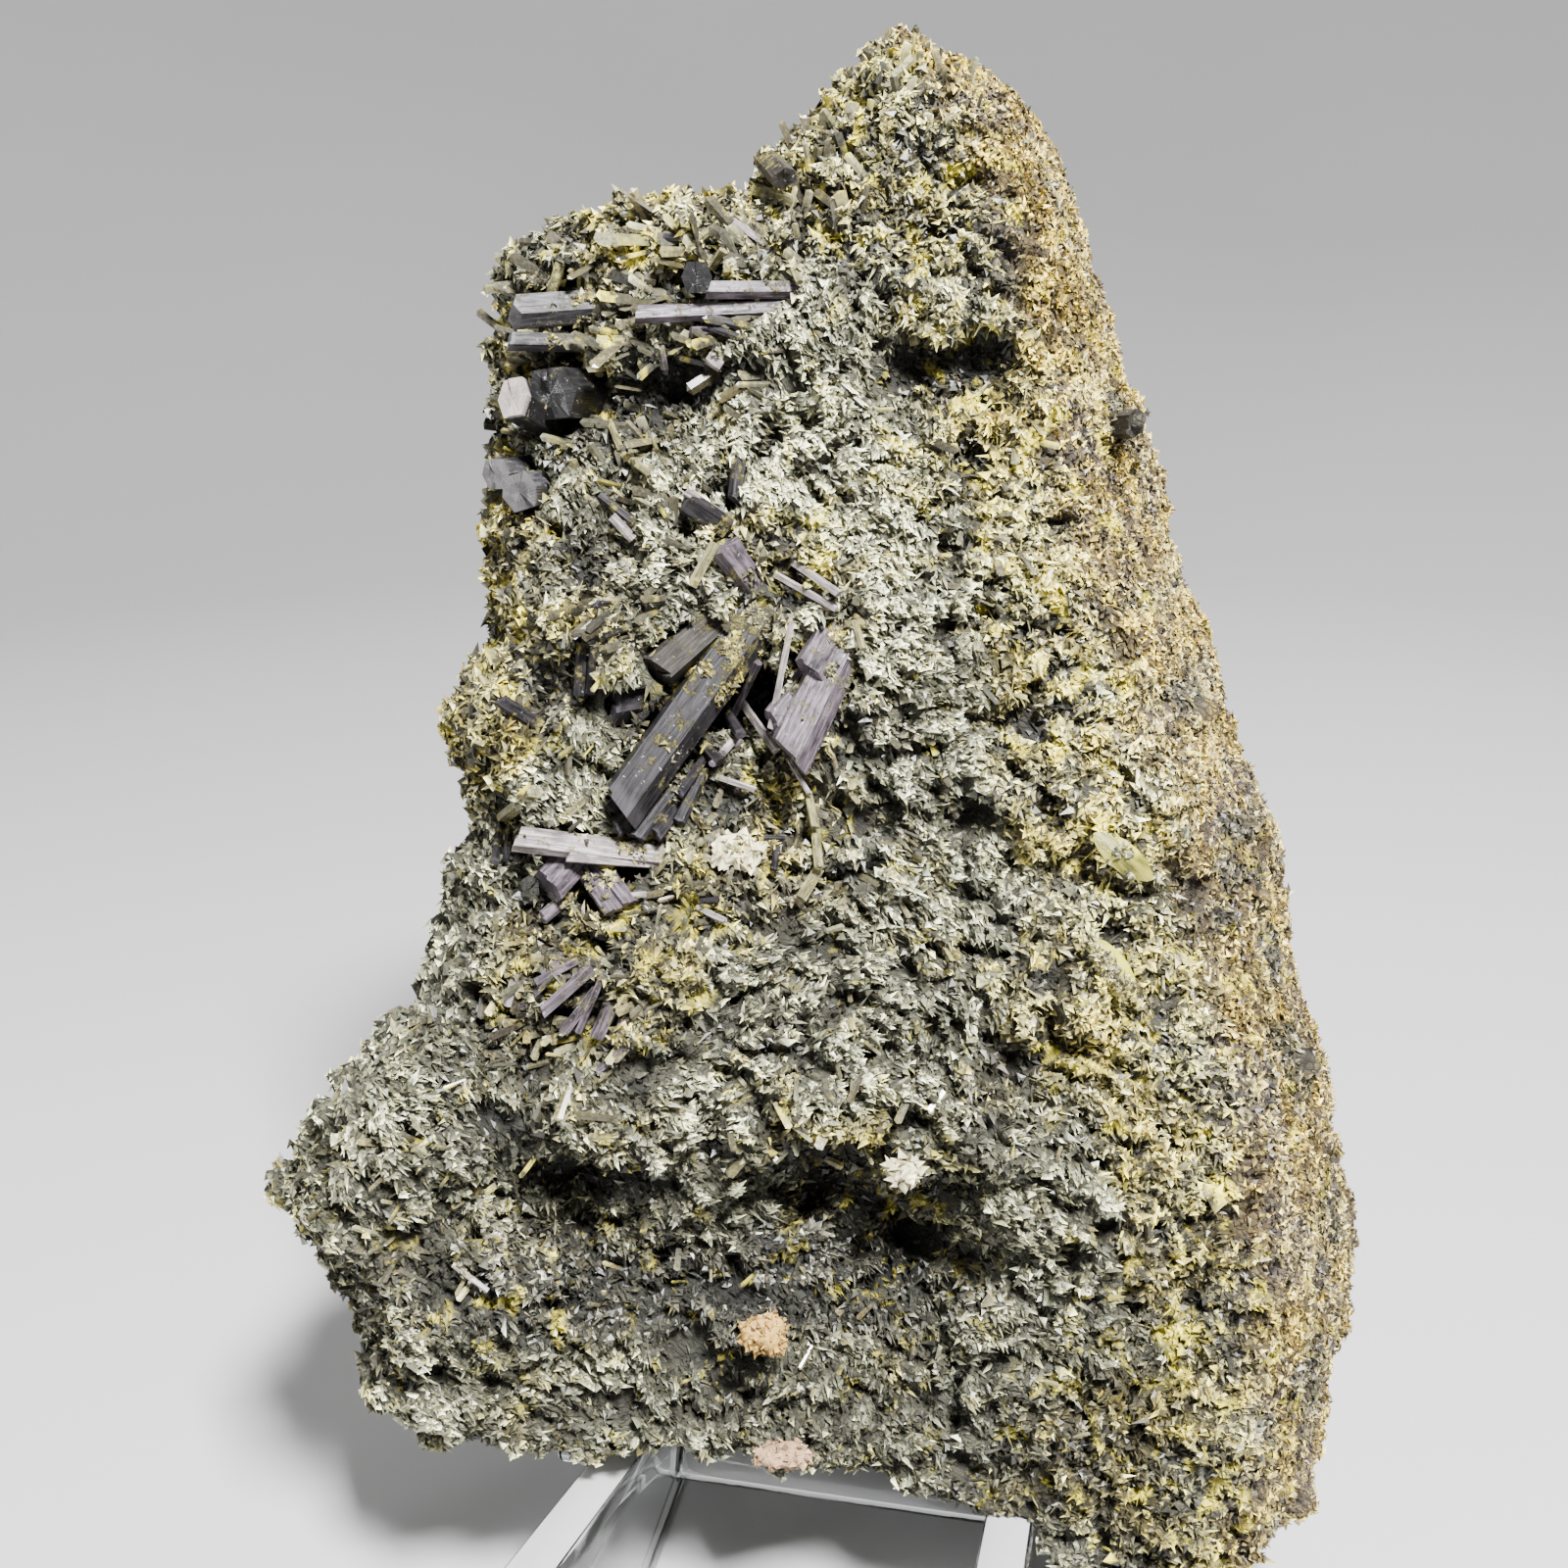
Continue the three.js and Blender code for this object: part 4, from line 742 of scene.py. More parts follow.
def thickness_inwards(mesh):
    """How thick the stone is behind each point of its surface, in millimetres."""
    faces = [face.vertices for face in mesh.polygons]
    tree = BVHTree.FromPolygons([vert.co for vert in mesh.vertices], faces)
    thick = np.full(len(mesh.vertices), THICKEST)
    for index, vert in enumerate(mesh.vertices):
        found = tree.ray_cast(vert.co - vert.normal * RAY_START, -vert.normal, THICKEST * MM)[3]
        if found is not None:
            thick[index] = found / MM
    return thick


def build_stone():
    """The matrix, remeshed evenly and given its relief. The last result is how densely grains cover it."""
    remesh = {"mode": "VOXEL", "voxel_size": ROCK_VOXEL}
    mesh = worked("matrix_rock", REMESH=remesh, SMOOTH={"factor": 0.5, "iterations": 1})
    finer_front(mesh)

    points, normals = places_of(mesh), normals_of(mesh)
    at = as_seen(points)
    height, raised = stone_relief(points, smoothstep(past_ridge(at), -12, 3))
    hollow = patches(at, PITS) * (normals[:, 2] > 0)
    height -= hollow
    cover = (0.15 + raised ** 1.4) * np.clip(1 - hollow / 3, 0.5, 1)
    # Painted shade: the pits lower the crevice value, so stone and grains in them are painted darker.
    raised *= np.clip(1 - hollow / 2.6, 0.3, 1)
    clear = stand_clearance(points)
    sunk = np.minimum(height, 0) * smoothstep(clear, 0.3, STAND_ROOM)
    height = np.where(clear < STAND_ROOM, sunk, height)
    clear = crystal_clearance(points)
    sunk = np.minimum(height, 1.6 * smoothstep(clear, 0.2, CRYSTAL_ROOM) - 0.5)
    height = np.where(clear < CRYSTAL_ROOM, sunk, height)
    height = np.maximum(height, -DEEPEST_SHARE * thickness_inwards(mesh))
    moved = points + normals * height[:, None]
    mesh.vertices.foreach_set("co", np.ascontiguousarray(to_world(moved), np.float32).ravel())
    mesh.update()
    shares = finish_zones(points)
    # Painted shade: the pits get a large dark share.
    np.maximum(shares[2], 0.85 * smoothstep(hollow, 0.4, 2), out=shares[2])
    for label, values in zip((*SHARES, "crevice_shade"), (*shares, raised)):
        set_values(mesh, label, values)
    mesh.shade_smooth()
    dress(new_object("felted_stone", mesh, bare_stone), "felted_matrix", "matrix_rock")
    return mesh, normals, shares, raised, cover


stone_mesh, broad_normals, stone_shares, stone_raised, stone_cover = build_stone()
stone_points, stone_normals = places_of(stone_mesh), normals_of(stone_mesh)
stone_triangles = triangles_of(stone_mesh)
stone_seen = as_seen(stone_points)
front_share = smoothstep(stone_normals[:, 2] + 0.5 * stone_normals[:, 0], -0.1, 0.3)


# Grains: small blades laid on the stone

def grain_mesh(name, points, faces, tone, painted_shading, shares, across, up):
    """One mesh of many like grains, each with its own tone, with painted shade darkest at the root and a
    painted highlight at the tip, and its own finish.
    """
    count, each = points.shape[:2]
    corners = (np.concatenate(faces)[None, :] + each * np.arange(count)[:, None]).ravel()
    sides = np.tile([len(face) for face in faces], count)
    mesh = mesh_from_arrays(name, to_world(points.reshape(-1, 3)), corners, sides)
    set_values(mesh, "grain_tone", np.clip(tone[:, None] * np.array(painted_shading), 0, 1).ravel())
    for label, values in zip(SHARES, shares):
        set_values(mesh, label, np.repeat(values, each))
    add_bake_places(mesh, count, np.array(across), np.array(up))
    return mesh


def blade_meshes(name, base, axis, flat, length, width, thickness, tone, shares):
    """Many blades with a rhombic section and a blunt tip."""
    edge = np.cross(axis, flat)
    levels = []
    for reach, scale in ((0.0, 0.85), (0.93, 1.0)):
        middle = base + axis * (length * reach)[:, None]
        half = flat * (width * scale / 2)[:, None]
        thick = edge * (thickness * scale / 2)[:, None]
        levels += [middle + half, middle + thick, middle - half, middle - thick]
    points = np.stack([*levels, base + axis * length[:, None]], axis=1)
    faces = [[3, 2, 1, 0]]
    for side in range(4):
        after = (side + 1) % 4
        faces += [[side, after, 4 + after, 4 + side], [4 + side, 4 + after, 8]]
    # Painted shade and highlight: each corner's tone is scaled from dark at the root to bright at the tip.
    painted_shading = [0.55] * 4 + [1.0] * 4 + [1.1]
    across, up = [0.15, 0.4, 0.65, 0.85] * 2 + [0.5], [0.12] * 4 + [0.6] * 4 + [0.9]
    return grain_mesh(name, points, faces, tone, painted_shading, shares, across, up)


def crumb_meshes(name, base, axis, flat, length, width, thickness, tone, shares, rng):
    """Many splinters, each a lopsided four-sided chip."""
    count = len(base)
    edge = np.cross(axis, flat)
    side_at, back_at = rng.uniform(0.2, 0.7, (2, count)) * length
    lean = rng.uniform(0.1, 0.6, count)
    points = np.stack([
        base,
        base + axis * length[:, None],
        base + axis * side_at[:, None] + flat * (width * 0.6)[:, None],
        base + axis * back_at[:, None] - flat * (width * lean)[:, None] + edge * thickness[:, None],
    ], axis=1)
    faces = [[0, 2, 1], [0, 1, 3], [1, 2, 3], [0, 3, 2]]
    # Painted shade and highlight: each corner's tone is scaled from dark at the root to bright at the tip.
    painted_shading = [0.22, 1.1, 0.62, 0.8]
    return grain_mesh(name, points, faces, tone, painted_shading, shares, [0.5, 0.5, 0.15, 0.85], [0.1, 0.9, 0.5, 0.5])


def add_bake_places(mesh, count, across, up):
    """A small cell of the bake picture for each grain, from its root to its tip."""
    columns = math.ceil(math.sqrt(count))
    cell = 1 / columns
    index = np.arange(count)
    left = (index % columns) * cell
    low = (index // columns) * cell
    u = (left[:, None] + across[None, :] * cell).ravel()
    v = (low[:, None] + up[None, :] * cell).ravel()
    loops = read(mesh.loops, "vertex_index", 1, np.int32)[:, 0]
    layer = mesh.uv_layers.new(name="OFBake")
    layer.data.foreach_set("uv", np.stack([u[loops], v[loops]], axis=1).astype(np.float32).ravel())


def surface_samples(points, triangles, weight, count, rng):
    """Random places on a surface, more where the weight is high: place, normal, corners, corner mix."""
    a, b, c = (points[triangles[:, n]] for n in range(3))
    cross = np.cross(b - a, c - a)
    area = np.linalg.norm(cross, axis=1) / 2
    chance = area * weight[triangles].mean(axis=1)
    picked = rng.choice(len(triangles), size=count, p=chance / chance.sum())
    first, second = rng.random((2, count))
    fold = first + second > 1
    first, second = np.where(fold, 1 - first, first), np.where(fold, 1 - second, second)
    mix = np.stack([1 - first - second, first, second], axis=1)
    corners = triangles[picked]
    return (points[corners] * mix[:, :, None]).sum(axis=1), unit(cross[picked]), corners, mix


def lay_grains(name, weight, count, stray, length, width, lift, seed):
    """Lays grains on the stone in swirls, with painted shade that darkens them in the crevices."""
    rng = np.random.default_rng(seed)
    place, normal, corners, mix = surface_samples(stone_points, stone_triangles, weight, count, rng)
    layers = (*stone_shares, stone_raised)
    tan, yellow, dark, height = ((layer[corners] * mix).sum(axis=1) for layer in layers)
    broad = unit((broad_normals[corners] * mix[:, :, None]).sum(axis=1))
    normal = unit(0.75 * broad + 0.25 * normal)

    # The lie of each grain and its size.
    swirl = noises(place, BROAD_SWIRL, (7, 61, 1.1), (2.5, 62, 0.6))
    turn = FELT_LIE + swirl + rng.normal(0, stray + 1.1 * np.maximum(yellow, tan), count)
    sideways = unit(np.cross(np.array([0.0, 1, 0.1]), normal))
    upwards = np.cross(normal, sideways)
    lying = turned(sideways, upwards, turn)
    axis = unit(lying + normal * (lift * rng.random(count) ** 1.3 + 0.1)[:, None])
    roll = rng.uniform(-1.2, 1.2, count)
    flat = unit(np.cross(normal, axis))
    flat = unit(turned(flat, np.cross(axis, flat), roll))
    long = length * (0.6 + 1.0 * rng.random(count) ** 2.5) * (1 - 0.25 * tan)
    wide = width * (0.65 + 0.8 * rng.random(count) ** 1.5) * (1 + 0.15 * yellow - 0.15 * tan)
    thick = wide * rng.uniform(0.6, 1.1, count)

    # Its tone, from the relief as painted shade in the crevices, clumps, the patches of the front with
    # their painted shade, and chance, and its finish.
    clump = noises(drawn_along_flow(place), (1.2, 63, 0.27), (3.4, 64, 0.22))
    mottled = smooth_noise(place, 3.5, 67)
    # Painted shade: grains low in the relief are darker.
    tone = 0.9 * height - 0.08 - 0.13 * tan - 0.05 * yellow + clump + 0.3 * tan * mottled
    tone += rng.normal(0, 0.16 + 0.07 * tan + 0.05 * np.clip(yellow, 0, 1), count)
    at = as_seen(place)
    tone += patches(at, TONE_AND_SHADE_PATCHES) - 0.28 * dark * smoothstep(past_ridge(at), -2, 3)
    # Painted highlights: one grain in ten is made much brighter, standing in for glints.
    tone += np.where(rng.random(count) > 0.9, 0.4, 0)
    yellow = yellow + smooth_noise(place, 2.2, 65) * 0.45
    speck = (rng.random(count) < 0.13 * tan) | (smooth_noise(place, 1.2, 66) > 0.5)
    tone -= 0.35 * speck * tan
    dark = dark + 0.6 * speck * tan
    tan = np.clip(tan + rng.normal(0, 0.1, count) - 0.55 * speck, 0, 1)
    yellow = np.clip(yellow + rng.normal(0, 0.22, count), 0, 1)
    dark = np.clip(dark + rng.normal(0, 0.12, count), 0, 1)

    base = place - axis * (0.35 * long)[:, None] + normal * 0.02
    middle, ends = base + 0.5 * axis * long[:, None], base + axis * long[:, None]
    keep = np.minimum(stand_clearance(base), stand_clearance(ends)) > GRAIN_OFF_STAND
    keep &= np.minimum(crystal_clearance(middle), crystal_clearance(ends)) > GRAIN_OFF_CRYSTAL
    laid = (values[keep] for values in (base, axis, flat, long, wide, thick, np.clip(tone, 0.02, 1)))
    made = crumb_meshes(name, *laid, [values[keep] for values in (tan, yellow, dark)], rng)
    dress(new_object(name, made, grain_finish), "felted_matrix")


front_weight = front_share * stone_cover
upper = smoothstep(stone_seen[:, 1], -2, 2)
CRUMBS = 49500
FIBRES = 49500
CRUMBS_BEHIND = 30000
crumb = {"stray": 0.5, "length": 0.8, "width": 0.6, "lift": 0.6}
crumb_behind = {"stray": 0.55, "length": 1.5, "width": 0.9, "lift": 0.6}
fibre = {"stray": 0.4, "length": 1.6, "width": 0.38, "lift": 0.35}
lay_grains("crumbs_upper", upper * front_weight, CRUMBS, **crumb, seed=11)
lay_grains("crumbs_lower", (1 - upper) * front_weight, CRUMBS, **crumb, seed=12)
lay_grains("crumbs_behind", 1.0001 - front_share, CRUMBS_BEHIND, **crumb_behind, seed=14)
lay_grains("fibres_front", front_weight * (1 - stone_shares[0] * 0.5), FIBRES, **fibre, seed=13)


# Crystals

def prism_section(width, thickness, rng):
    """Outline across a prism: six-sided, its broad faces finely grooved along its length."""
    half, shoulder = width / 2, 0.62 * width / 2
    points = []
    for side in (1, -1):
        steps = max(4, int(width * 4))
        points.append((half * side, 0.0))
        for step in range(steps + 1):
            share = step / steps
            inset = 0 if step in (0, steps) else rng.uniform(0, 0.0015) * thickness
            points.append((side * shoulder * (1 - 2 * share), side * (thickness / 2 - inset)))
    return np.array(points)


def tip_heights(tip, tilt, outline, width, rng):
    if tip == "wedge":
        return -tilt * np.abs(outline[:, 0])
    if tip == "point":
        return np.full(len(outline), -0.8 * width)
    step = np.where(outline[:, 0] > rng.uniform(-0.2, 0.3) * width, 0.08, 0) * width
    return tilt * outline[:, 0] + 0.1 * outline[:, 1] + step


def striated_prism(entry, rng):
    """One prism with grooved faces, growth steps and a chipped end: points, faces and places on it."""
    start_at, end_at, width, thickness, roll, tip, tilt = entry
    start, end = seen(*start_at), seen(*end_at)
    length = np.linalg.norm(end - start)
    axis = (end - start) / length
    outwards = np.array([0.0, 1, 0]) if abs(axis[2]) > 0.9 else np.array([0.0, 0, 1])
    across = unit(np.cross(outwards, axis))
    turn = math.radians(roll)
    across = across * math.cos(turn) + np.cross(axis, across) * math.sin(turn)
    depth = np.cross(axis, across)
    section = prism_section(width, thickness, rng)
    count = len(section)
    girth = np.cumsum(np.linalg.norm(section - np.roll(section, 1, axis=0), axis=1)) + rng.uniform(0, 90)
    levels = np.linspace(0, 1, max(3, int(length / 2.5)))
    rings, heights = [], []
    for index, level in enumerate(levels):
        outline = section * (1 + rng.uniform(-0.006, 0.006))
        height = np.full(count, level * length)
        if index == len(levels) - 1:
            height += tip_heights(tip, tilt, outline, width, rng)
        rings.append(start + outline[:, :1] * across + outline[:, 1:] * depth + height[:, None] * axis)
        heights.append(height)
    inner = section * (0.15 if tip == "point" else 0.55)
    chips = length + tip_heights(tip, tilt, inner, width, rng)
    chips += rng.uniform(0, 0.02, count) * width
    rings.append(start + inner[:, :1] * across + inner[:, 1:] * depth + chips[:, None] * axis)
    heights.append(chips)
    middle = chips.mean()
    points = np.concatenate([*rings, [start, start + axis * middle]])
    faces = []
    for low in range(0, (len(rings) - 1) * count, count):
        for side in range(count):
            after = (side + 1) % count
            faces.append((low + side, low + after, low + count + after, low + count + side))
    last = (len(rings) - 1) * count
    for side in range(count):
        after = (side + 1) % count
        faces.append((len(points) - 2, after, side))
        faces.append((len(points) - 1, last + side, last + after))
    lengthwise = np.concatenate([*heights, [0, middle]])
    crosswise = np.concatenate([np.tile(girth, len(rings)), [0, 0]])
    return points, faces, lengthwise, crosswise, np.clip(lengthwise / length, 0, 1)


def crystal_group(name, entries, material, slot, seed, *nodes):
    """Joins prisms into one piece that stands for those nodes of the frame."""
    rng = np.random.default_rng(seed)
    blocks = [striated_prism(entry, rng) for entry in entries]
    offsets = np.cumsum([0] + [len(block[0]) for block in blocks])
    faces = [
        tuple(int(corner + offset) for corner in face)
        for offset, block in zip(offsets, blocks)
        for face in block[1]
    ]
    mesh = bpy.data.meshes.new(name)
    mesh.from_pydata(to_world(np.concatenate([block[0] for block in blocks])).tolist(), [], faces)
    for index, label in ((2, "lengthwise"), (3, "crosswise"), (4, "reach")):
        set_values(mesh, label, np.concatenate([block[index] for block in blocks]))
    mesh.validate()
    dress(new_object(name, mesh, material), slot, *nodes)


def make_striations():
    """Fine lines along a crystal, as a height, and the same lines as a paler streak that paints the glint
    of the striations.
    """
    tree, nodes, given, result = new_group("Striations", ["Lengthwise", "Crosswise"], ["Height", "Streak"])
    slow = nodes.times(given["Lengthwise"], 0.12)
    place = nodes.add("ShaderNodeCombineXYZ", {"X": given["Crosswise"], "Y": slow}).outputs[0]
    broad = nodes.noise(place, 0.9, 2)
    fine = nodes.noise(place, 2.8, 3)
    height = nodes.plus(broad, nodes.times(fine, 0.5))
    nodes.feed(result, Height=height, Streak=nodes.spread(fine, 0.47, 0.62))
    return tree


striations = make_striations()


def make_epidote(name, deep, worn_and_glint, dust, roughness, dusted, cap=None, gloss=0.2):
    """Glassy epidote: dark body with paler lines, partly painted highlights along its striations, and
    specks, and yellow crust towards its root.
    """
    material, nodes, shader = new_material(name, IOR=1.6, Specular_IOR_Level=gloss)
    place, reach = nodes.place(), nodes.value_of("reach")
    along_it, across_it = nodes.value_of("lengthwise"), nodes.value_of("crosswise")
    lines = nodes.group(striations, Lengthwise=along_it, Crosswise=across_it).outputs
    cloud = nodes.spread(nodes.noise(place, 420, 5, 0.65), 0.36, 0.72)
    colour = nodes.blend(nodes.times(cloud, 0.55), deep, worn_and_glint)
    # Painted highlight: the striation lines are painted paler, standing in for the glints along the
    # grooves.
    colour = nodes.blend(nodes.times(lines["Streak"], 0.7), colour, worn_and_glint)
    chipped = nodes.spread(nodes.noise(place, 1900, 2), 0.68, 0.76)
    colour = nodes.blend(nodes.times(chipped, 0.45, clamp=True), colour, CHIPPED)
    if cap:
        end = nodes.blend(cloud, [0.5 * part for part in cap], cap)
        colour = nodes.blend(nodes.spread(reach, 0.94, 0.97), colour, end)
    root = nodes.times(nodes.maths("SUBTRACT", 1.0, reach), dusted)
    crust = nodes.spread(nodes.plus(nodes.noise(place, 600, 8, 0.75), root), 0.6, 0.74)
    speck = nodes.spread(nodes.noise(place, 1500, 5, 0.75), 0.38, 0.64)
    crumb = nodes.blend(speck, *(np.array(dust) * shade for shade in CRUST_SHADES))
    colour = nodes.blend(nodes.times(crust, 0.85), colour, crumb)
    matt = nodes.maths("MAXIMUM", crust, nodes.times(cloud, 0.25))
    matt = nodes.spread(matt, 0, 1, roughness, 0.75)
    height = nodes.times(nodes.times(crust, speck), 4.0)
    height = nodes.plus(lines["Height"], height)
    nodes.feed(shader.inputs, Base_Color=colour, Roughness=matt, Normal=nodes.bump(height, 0.8, 0.00012))
    return material


# Colour of chipped places.
CHIPPED = (0.42, 0.4, 0.38)
# Shares of the dust colour in the dark and the light of a crust.
CRUST_SHADES = np.array([(0.08, 0.08, 0.09), (1.5, 1.5, 1.2)])
YELLOW_DUST = (0.3, 0.265, 0.11)
PALE_DUST = (0.45, 0.4, 0.2)
OLIVE_DUST = (0.45, 0.41, 0.17)
NEAR_BLACK = (0.014, 0.013, 0.014)
# Body colour, worn colour that the paler lines also use as a painted highlight, colour of the dust,
# roughness and how much dust lies near the root.
dark_epidote = make_epidote(
    "dark_epidote", (0.004, 0.0036, 0.004), (0.02, 0.018, 0.02), YELLOW_DUST, 0.4, 0.14,
    cap=(0.03, 0.027, 0.03), gloss=0.05,
)
crusted_epidote = make_epidote(
    "crusted_epidote", (0.008, 0.007, 0.006), (0.035, 0.031, 0.026), YELLOW_DUST, 0.5, 0.2, gloss=0.08
)
violet_epidote = make_epidote(
    "violet_epidote", (0.01, 0.008, 0.0095), (0.115, 0.094, 0.111), YELLOW_DUST, 0.3, 0.12, gloss=0.14
)
pale_epidote = make_epidote(
    "pale_epidote", (0.05, 0.043, 0.042), (0.3, 0.262, 0.257), PALE_DUST, 0.36, 0.12
)
olive_epidote = make_epidote(
    "olive_epidote", (0.04, 0.037, 0.016), (0.22, 0.2, 0.1), OLIVE_DUST, 0.38, 0.2
)
# Its paler ends are partly a painted highlight on the end faces of the upper-left blocks.
grey_epidote = make_epidote(
    "grey_epidote", (0.013, 0.0125, 0.013), (0.07, 0.066, 0.07), YELLOW_DUST, 0.3, 0.1,
    cap=(0.085, 0.08, 0.083), gloss=0.12,
)
barrel_epidote = make_epidote(
    "barrel_epidote", (0.004, 0.004, 0.004), NEAR_BLACK, YELLOW_DUST, 0.3, 0.05, cap=(0.31, 0.27, 0.25)
)
black_epidote = make_epidote("black_epidote", (0.003, 0.003, 0.003), NEAR_BLACK, YELLOW_DUST, 0.3, 0.08)

crystal_group("centre_crystals", CENTRE_PRISMS, dark_epidote, "dark_epidote", 21, "centre_prisms")
crystal_group("crusted_crystals", CRUSTED_PRISMS, crusted_epidote, "dark_epidote", 28)
crystal_group("violet_crystals", VIOLET_PRISMS, violet_epidote, "pale_epidote", 29)
crystal_group("cross_crystals", CROSS_PRISM, pale_epidote, "pale_epidote", 22, "cross_prism")
crystal_group("left_blocks", UPPER_LEFT_BLOCKS, grey_epidote, "grey_epidote", 23, "upper_left_blocks")
crystal_group("long_crystals", UPPER_LONG_PRISMS, violet_epidote, "pale_epidote", 24, "upper_long_prisms")
crystal_group("barrel_end", BARREL_CRYSTAL, barrel_epidote, "grey_epidote", 25, "barrel_crystal")
crystal_group("dark_ends", DARK_ENDS, black_epidote, "dark_epidote", 30)
crystal_group("left_hexagons", LEFT_HEX_CRYSTALS, grey_epidote, "grey_epidote", 26, "left_hex_crystals")
crystal_group("edge_crystals", EDGE_CRYSTALS, crusted_epidote, "dark_epidote", 27)


def on_surface(x, y):
    """How near the camera the stone's surface is at a place on the front."""
    near = (np.abs(stone_seen[:, 0] - x) < 1) & (np.abs(stone_seen[:, 1] - y) < 1)
    depths = stone_points[near, 2]
    return np.percentile(depths[depths > depths.max() - 6], 75)


def single_blades(name, entries, material, slot, seed):
    """Blades that stand alone on the stone."""
    rng = np.random.default_rng(seed)
    prisms = []
    for root_x, root_y, tip_x, tip_y, width, rise in entries:
        root = (root_x, root_y, on_surface(root_x, root_y) + 0.2)
        tip = (tip_x, tip_y, on_surface(tip_x, tip_y) + rise)
        kind = str(rng.choice(["break", "wedge", "point"]))
        prisms.append((root, tip, width, width * rng.uniform(0.45, 0.8), rng.uniform(-35, 35), kind, 0.3))
    crystal_group(name, prisms, material, slot, seed)


single_blades("olive_blades", OLIVE_BLADES, olive_epidote, "pale_epidote", seed=34)
single_blades("pale_blades", PALE_BLADES, pale_epidote, "pale_epidote", seed=35)
single_blades("violet_blades", VIOLET_BLADES, violet_epidote, "pale_epidote", seed=37)
single_blades("dark_blades", DARK_BLADES, dark_epidote, "dark_epidote", seed=36)


def lay_dust(name, place, outwards, rise, length, slender, tone, yellow, rng):
    """Crumbs with a range of length, a share of it as least width, and a mean and spread of tone."""
    count = len(place)
    lie = unit(rng.normal(0, 1, (count, 3)) + rise * outwards)
    flat = unit(np.cross(outwards, lie))
    long = rng.uniform(*length, count)
    wide = long * rng.uniform(slender, 0.9, count)
    tone = np.clip(rng.normal(*tone, count), 0.05, 1)
    shares = [np.full(count, 0.1), np.clip(rng.normal(yellow, 0.3, count), 0, 1), np.zeros(count)]
    base = place - lie * (long / 2)[:, None]
    made = crumb_meshes(name, base, lie, flat, long, wide, wide * 0.8, tone, shares, rng)
    dress(new_object(name, made, grain_finish), "felted_matrix")


def dust_crystals(name, entries, count, thick, fade, seed):
    """Yellow crumbs that cling to crystals, most of them towards the root."""
    rng = np.random.default_rng(seed)
    starts, ends = (np.array([seen(*entry[index]) for entry in entries]) for index in (0, 1))
    width, thickness = (np.array([entry[index] for entry in entries]) for index in (2, 3))
    room = np.linalg.norm(ends - starts, axis=1) * width
    picked = rng.choice(len(entries), size=count, p=room / room.sum())
    starts, ends, half = starts[picked], ends[picked], ((width + thickness) / 4)[picked]
    axis = unit(ends - starts)
    aside = unit(np.cross(axis, np.array([0.1, 0.2, 1.0])))
    front = np.cross(aside, axis)
    front *= np.sign(front[:, 2:])
    turn = rng.normal(0, 0.9, count)
    outwards = turned(front, aside, turn)
    share = rng.random(count) ** 1.6
    place = starts + (ends - starts) * share[:, None] + outwards * (half * 0.98)[:, None]
    patchy = smooth_noise(place, 1.6, 91) + thick - fade * share
    keep = patchy > rng.uniform(0, 0.3, count)
    lay_dust(name, place[keep], outwards[keep], 0.4, (0.3, 0.95), 0.55, (0.48, 0.2), 0.75, rng)


dust_crystals("crust_crumbs", CRYSTALS, 9000, thick=0.32, fade=1.1, seed=31)
MOST_CRUSTED = [*CRUSTED_PRISMS, CENTRE_PRISMS[0], CENTRE_PRISMS[-1], VIOLET_PRISMS[0]]
dust_crystals("thick_crust", MOST_CRUSTED, 9000, thick=0.8, fade=2.2, seed=32)


def dust_lenses(name, count, seed):
    """Patches of yellow crumbs on the two lens crystals."""
    rng = np.random.default_rng(seed)
    found = []
    for node in ("lens_crystal_upper", "lens_crystal_lower"):
        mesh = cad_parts[node].data
        points = places_of(mesh)
        found.append(surface_samples(points, triangles_of(mesh), np.ones(len(points)), count, rng)[:2])
    place, outwards = (np.concatenate(values) for values in zip(*found))
    keep = smooth_noise(place, 1.3, 92) > rng.uniform(0.2, 0.55, len(place))
    lay_dust(name, place[keep], outwards[keep], 0.3, (0.3, 0.9), 0.5, (0.55, 0.22), 0.8, rng)


dust_lenses("lens_crust", 1400, seed=38)

